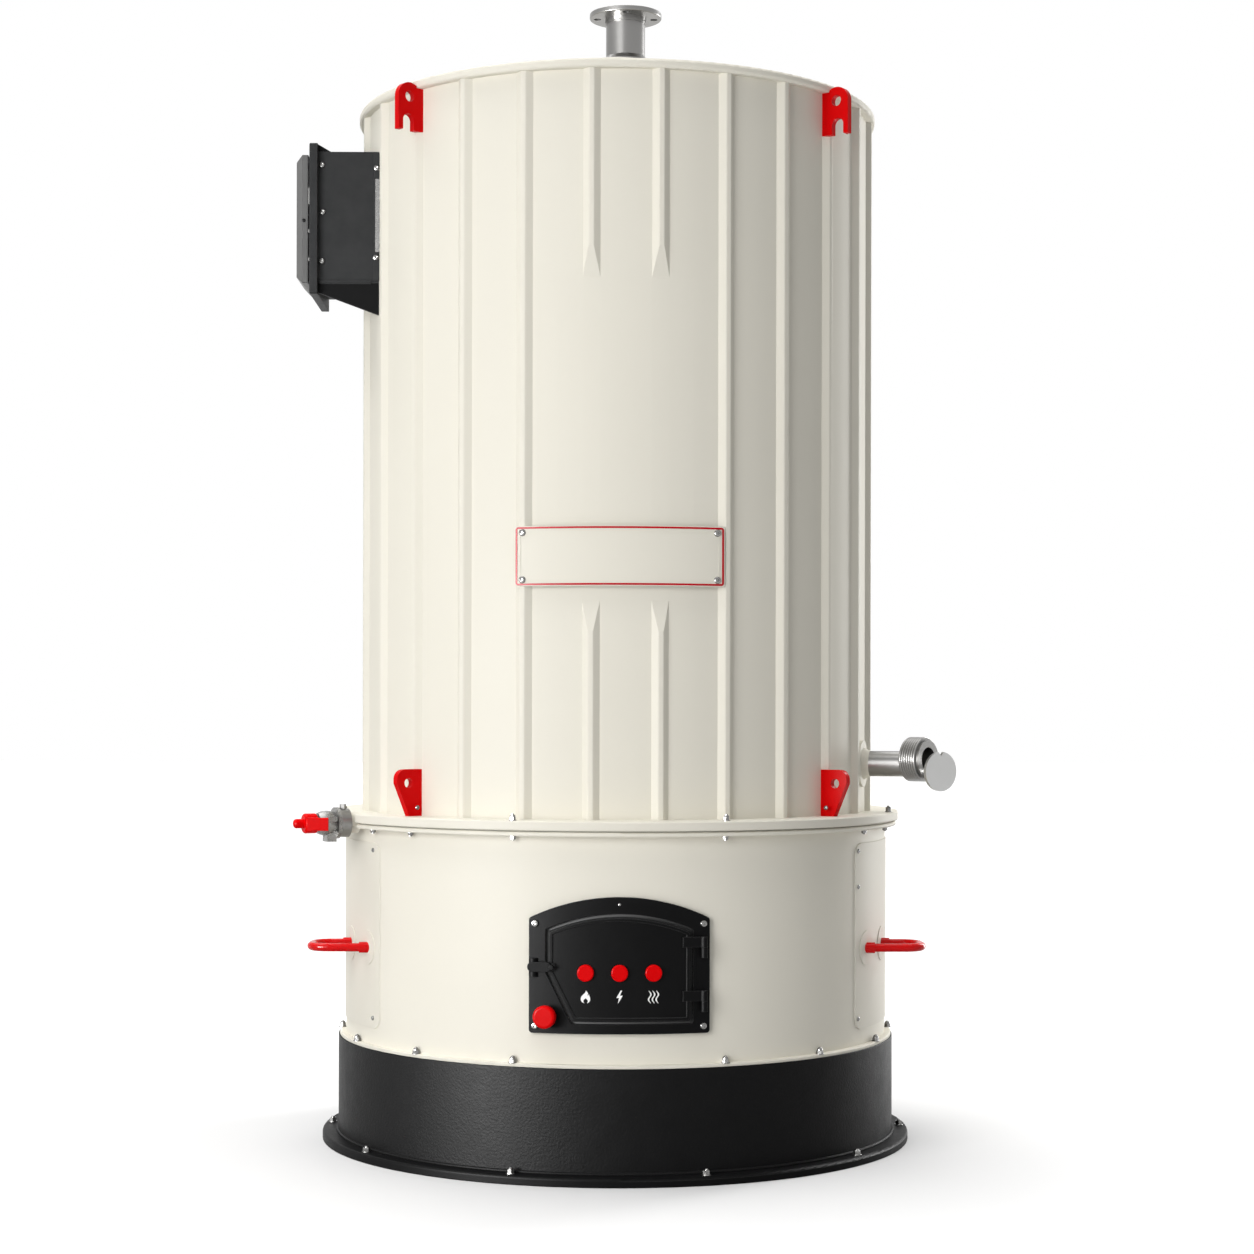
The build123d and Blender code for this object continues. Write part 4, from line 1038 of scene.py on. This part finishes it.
class BOILER_OT_door_symbols(Operator):
    """Printed symbols under the three push buttons: flame, spark and heat"""

    bl_idname = "boiler.door_symbols"
    bl_label = "Door Symbols"

    def printed(self, name, outline, across):
        """Flat print with round or sharp points, laid on the door."""
        curve = bpy.data.curves.new(name, "CURVE")
        curve.dimensions = "2D"
        curve.fill_mode = "BOTH"
        curve.extrude = PRINT_THICKNESS / 2
        curve.resolution_u = 8
        spline = curve.splines.new("BEZIER")
        spline.bezier_points.add(len(outline) - 1)
        spline.use_cyclic_u = True
        for point, (x, y, sharp) in zip(spline.bezier_points, outline):
            point.co = (x, y, 0)
            point.handle_left_type = point.handle_right_type = "VECTOR" if sharp else "AUTO"
        drawn = bpy.data.objects.new(name + "_curve", curve)
        mesh = bpy.data.meshes.new_from_object(drawn)
        bpy.data.objects.remove(drawn)
        bpy.data.curves.remove(curve)
        form = bmesh.new()
        form.from_mesh(mesh)
        bpy.data.meshes.remove(mesh)
        form.transform(across_place(across, DOOR_RADIUS + SURFACE_GAP, SYMBOL_HEIGHT))
        make_piece(form, name, "white_print", "fire_door")

    def execute(self, context):
        self.printed("flame_symbol", FLAME, -SYMBOL_PITCH)
        self.printed("spark_symbol", SPARK, 0.0)
        form = bmesh.new()
        under_print = DOOR_RADIUS + SURFACE_GAP - PRINT_THICKNESS / 2
        place = across_place(SYMBOL_PITCH, under_print, SYMBOL_HEIGHT)
        steps = 28
        for line in HEAT_LINES:
            rows = []
            for step in range(steps + 1):
                rise = -HEAT_RISE + 2 * HEAT_RISE * step / steps
                sway = line + HEAT_SWAY * sin(rise / HEAT_RISE * pi * HEAT_WAVES)
                taper = min(1.0, HEAT_END + HEAT_TAPER * min(step, steps - step) / steps)
                rows.append([
                    form.verts.new(place @ Vector((sway + side * HEAT_HALF_WIDTH * taper, rise, lift)))
                    for lift in (0.0, PRINT_THICKNESS) for side in (-1, 1)
                ])
            for low, high in zip(rows, rows[1:]):
                form.faces.new((low[2], low[3], high[3], high[2]))
                form.faces.new((low[0], low[2], high[2], high[0]))
                form.faces.new((low[3], low[1], high[1], high[3]))
        make_piece(form, "heat_symbol", "white_print", "fire_door")
        return {"FINISHED"}


class BOILER_OT_box_trim(Operator):
    """Folded lips, saddle strip, screws and clips of the control box"""

    bl_idname = "boiler.box_trim"
    bl_label = "Control Box Trim"

    def execute(self, context):
        radius = context.scene.boiler_fasteners.screw_radius / MM
        form = bmesh.new()
        for low, high, bevel in BOX_LIPS:
            front_block(form, BOX_FRONT, low, high, bevel)
        make_piece(form, "box_lips", "box_lit_coat", "boiler")
        form = bmesh.new()
        front_block(form, BOX_FRONT, *BOX_STRIP)
        make_piece(form, "box_saddle_strip", "bright_steel", "boiler")
        form = bmesh.new()
        for spot in BOX_SCREWS:
            place = front_place(BOX_FRONT) @ Matrix.Translation(spot)
            pan_screw(form, place, radius * BOX_SCREW_SHARE, BOX_SCREW_HEAD)
        make_piece(form, "box_screws", "bright_steel", "boiler")
        form = bmesh.new()
        place = front_place(COVER_FRONT) @ Matrix.Translation(COVER_SCREW)
        pan_screw(form, place, radius * COVER_SCREW_SHARE, COVER_SCREW_HEAD)
        make_piece(form, "cover_screw", "collar_plastic", "boiler")
        form = bmesh.new()
        for low, high, bevel in COVER_CLIPS:
            front_block(form, COVER_FRONT, low, high, bevel)
        make_piece(form, "cover_clips", "bright_steel", "boiler")
        return {"FINISHED"}


class BOILER_OT_stage(Operator):
    """Pale floor, studio lamps, room light and the camera"""

    bl_idname = "boiler.stage"
    bl_label = "Stage"

    def pale_mask(self, tree):
        """One for rays from the camera, a mirror or glass."""
        path = add_node(tree, "ShaderNodeLightPath")
        seen = calculate(tree, "MAXIMUM", path.outputs["Is Camera Ray"], path.outputs["Is Glossy Ray"])
        return calculate(tree, "MAXIMUM", seen, path.outputs["Is Transmission Ray"])

    def light_room(self, scene, fill):
        """Even white room that is dimmer as a light than to the eye."""
        world = bpy.data.worlds.new("studio")
        world.use_nodes = True
        scene.world = world
        tree = world.node_tree
        tree.nodes.clear()
        strength = mix_values(tree, self.pale_mask(tree), fill, 1.0)
        room = add_node(tree, "ShaderNodeBackground", {"Color": (1, 1, 1, 1), "Strength": strength})
        end = add_node(tree, "ShaderNodeOutputWorld")
        tree.links.new(room.outputs[0], end.inputs["Surface"])

    def lay_floor(self, scene):
        """Pale floor that blends into the white room and keeps the shadow; its glow is weaker near the
        boiler, a painted shade round the foot.
        """
        form = bmesh.new()
        bmesh.ops.create_grid(form, x_segments=8, y_segments=8, size=FLOOR_HALF)
        mesh = bpy.data.meshes.new("floor")
        form.to_mesh(mesh)
        form.free()
        floor = bpy.data.objects.new("floor", mesh)
        scene.collection.objects.link(floor)
        floor.location.z = -FLOOR_DROP
        paper = bpy.data.materials.new("floor_paper")
        paper.use_nodes = True
        tree = paper.node_tree
        tree.nodes.clear()
        mask = self.pale_mask(tree)
        tone = mix_values(tree, mask, FLOOR_TONE, FLOOR_TONE_SEEN)
        diffuse = add_node(tree, "ShaderNodeBsdfDiffuse", {"Color": tone})
        # Glow that rises with distance from the boiler: near it the floor is left darker, a painted shade.
        place = add_node(tree, "ShaderNodeTexCoord")
        reach = add_node(tree, "ShaderNodeVectorMath", {0: place.outputs["Object"]}, operation="LENGTH")
        span = {"From Min": SHADE_FADE_START, "From Max": SHADE_FADE_END, "To Min": 0.0, "To Max": FADE_GLOW}
        shade_fade = add_node(
            tree, "ShaderNodeMapRange", {"Value": reach.outputs["Value"], **span},
            interpolation_type="SMOOTHSTEP",
        )
        pale = calculate(tree, "MULTIPLY", mask, shade_fade.outputs[0])
        glow = add_node(tree, "ShaderNodeEmission", {"Color": (1, 1, 1, 1), "Strength": pale})
        both = add_node(tree, "ShaderNodeAddShader", {0: diffuse.outputs[0], 1: glow.outputs[0]})
        end = add_node(tree, "ShaderNodeOutputMaterial")
        tree.links.new(both.outputs[0], end.inputs["Surface"])
        mesh.materials.append(paper)

    def hang_lamp(self, scene, name, place, power):
        """Rectangular lamp that is aimed at the axis."""
        angle, distance, height, size, target = place
        data = bpy.data.lights.new(name, "AREA")
        data.shape = "RECTANGLE"
        data.size, data.size_y = size
        data.energy = power
        lamp = bpy.data.objects.new(name, data)
        lamp.location = outward(angle) * distance + Vector((0, 0, height))
        aim = Vector((0, 0, target)) - lamp.location
        lamp.rotation_euler = aim.to_track_quat("-Z", "Y").to_euler()
        scene.collection.objects.link(lamp)
        return lamp

    def hang_sky(self, scene, strength):
        """Wide even light from above."""
        data = bpy.data.lights.new("overhead", "SUN")
        data.energy = strength
        data.angle = radians(SKY_SPREAD)
        sky = bpy.data.objects.new("overhead", data)
        sky.rotation_euler = (radians(SKY_TILT[0]), radians(SKY_TILT[1]), 0)
        scene.collection.objects.link(sky)

    def set_camera(self, scene, stage):
        """Camera that stands where the photograph was taken."""
        data = bpy.data.cameras.new("camera")
        data.sensor_width = SENSOR_WIDTH
        data.lens = stage.lens
        data.clip_end = 100
        data.shift_x, data.shift_y = stage.camera_shift
        camera = bpy.data.objects.new("camera", data)
        out = outward(degrees(stage.camera_turn))
        camera.location = out * stage.camera_distance + Vector((0, 0, stage.camera_height))
        level = Euler((pi / 2, 0, stage.camera_turn)).to_matrix()
        camera.rotation_euler = (level @ Matrix.Rotation(stage.camera_roll, 3, "Z")).to_euler()
        scene.collection.objects.link(camera)
        scene.camera = camera

    def execute(self, context):
        scene = context.scene
        stage = scene.boiler_stage
        scene.view_settings.view_transform = "Standard"
        self.light_room(scene, stage.fill)
        self.lay_floor(scene)
        self.hang_lamp(scene, "key_softbox", KEY_PLACE, stage.key_power)
        streak = self.hang_lamp(scene, "streak_strip", STREAK_PLACE, stage.streak_power)
        streak.visible_diffuse = False
        self.hang_lamp(scene, "rim_strip", RIM_PLACE, stage.rim_power)
        self.hang_sky(scene, stage.top_power)
        self.set_camera(scene, stage)
        return {"FINISHED"}


class BOILER_PT_dressing(Panel):
    """Sizes, colours and steps of the boiler's dressing"""

    bl_idname = "BOILER_PT_dressing"
    bl_label = "Boiler Dressing"
    bl_space_type = "VIEW_3D"
    bl_region_type = "UI"
    bl_category = "Boiler"

    def draw(self, context):
        layout = self.layout
        scene = context.scene
        for settings in (scene.boiler_finishes, scene.boiler_fasteners, scene.boiler_stage):
            column = layout.column(align=True)
            for key in settings.__annotations__:
                column.prop(settings, key)
        for step in STEPS:
            layout.operator(step.bl_idname)


STEPS = (
    BOILER_OT_finishes,
    BOILER_OT_anchor_bolts,
    BOILER_OT_rim_bolts,
    BOILER_OT_sheet_screws,
    BOILER_OT_name_plate,
    BOILER_OT_door_gap_shade,
    BOILER_OT_door_symbols,
    BOILER_OT_box_trim,
    BOILER_OT_stage,
)
CLASSES = (BoilerFinishes, BoilerFasteners, BoilerStage, *STEPS, BOILER_PT_dressing)


def register():
    for made in CLASSES:
        bpy.utils.register_class(made)
    bpy.types.Scene.boiler_finishes = PointerProperty(type=BoilerFinishes)
    bpy.types.Scene.boiler_fasteners = PointerProperty(type=BoilerFasteners)
    bpy.types.Scene.boiler_stage = PointerProperty(type=BoilerStage)


def unregister():
    del bpy.types.Scene.boiler_stage
    del bpy.types.Scene.boiler_fasteners
    del bpy.types.Scene.boiler_finishes
    for made in reversed(CLASSES):
        bpy.utils.unregister_class(made)


def main():
    register()
    bpy.ops.boiler.finishes()
    bpy.ops.boiler.anchor_bolts()
    bpy.ops.boiler.rim_bolts()
    bpy.ops.boiler.sheet_screws()
    bpy.ops.boiler.name_plate()
    bpy.ops.boiler.door_seal()
    bpy.ops.boiler.door_symbols()
    bpy.ops.boiler.box_trim()
    bpy.ops.boiler.stage()


if __name__ == "__main__":
    main()
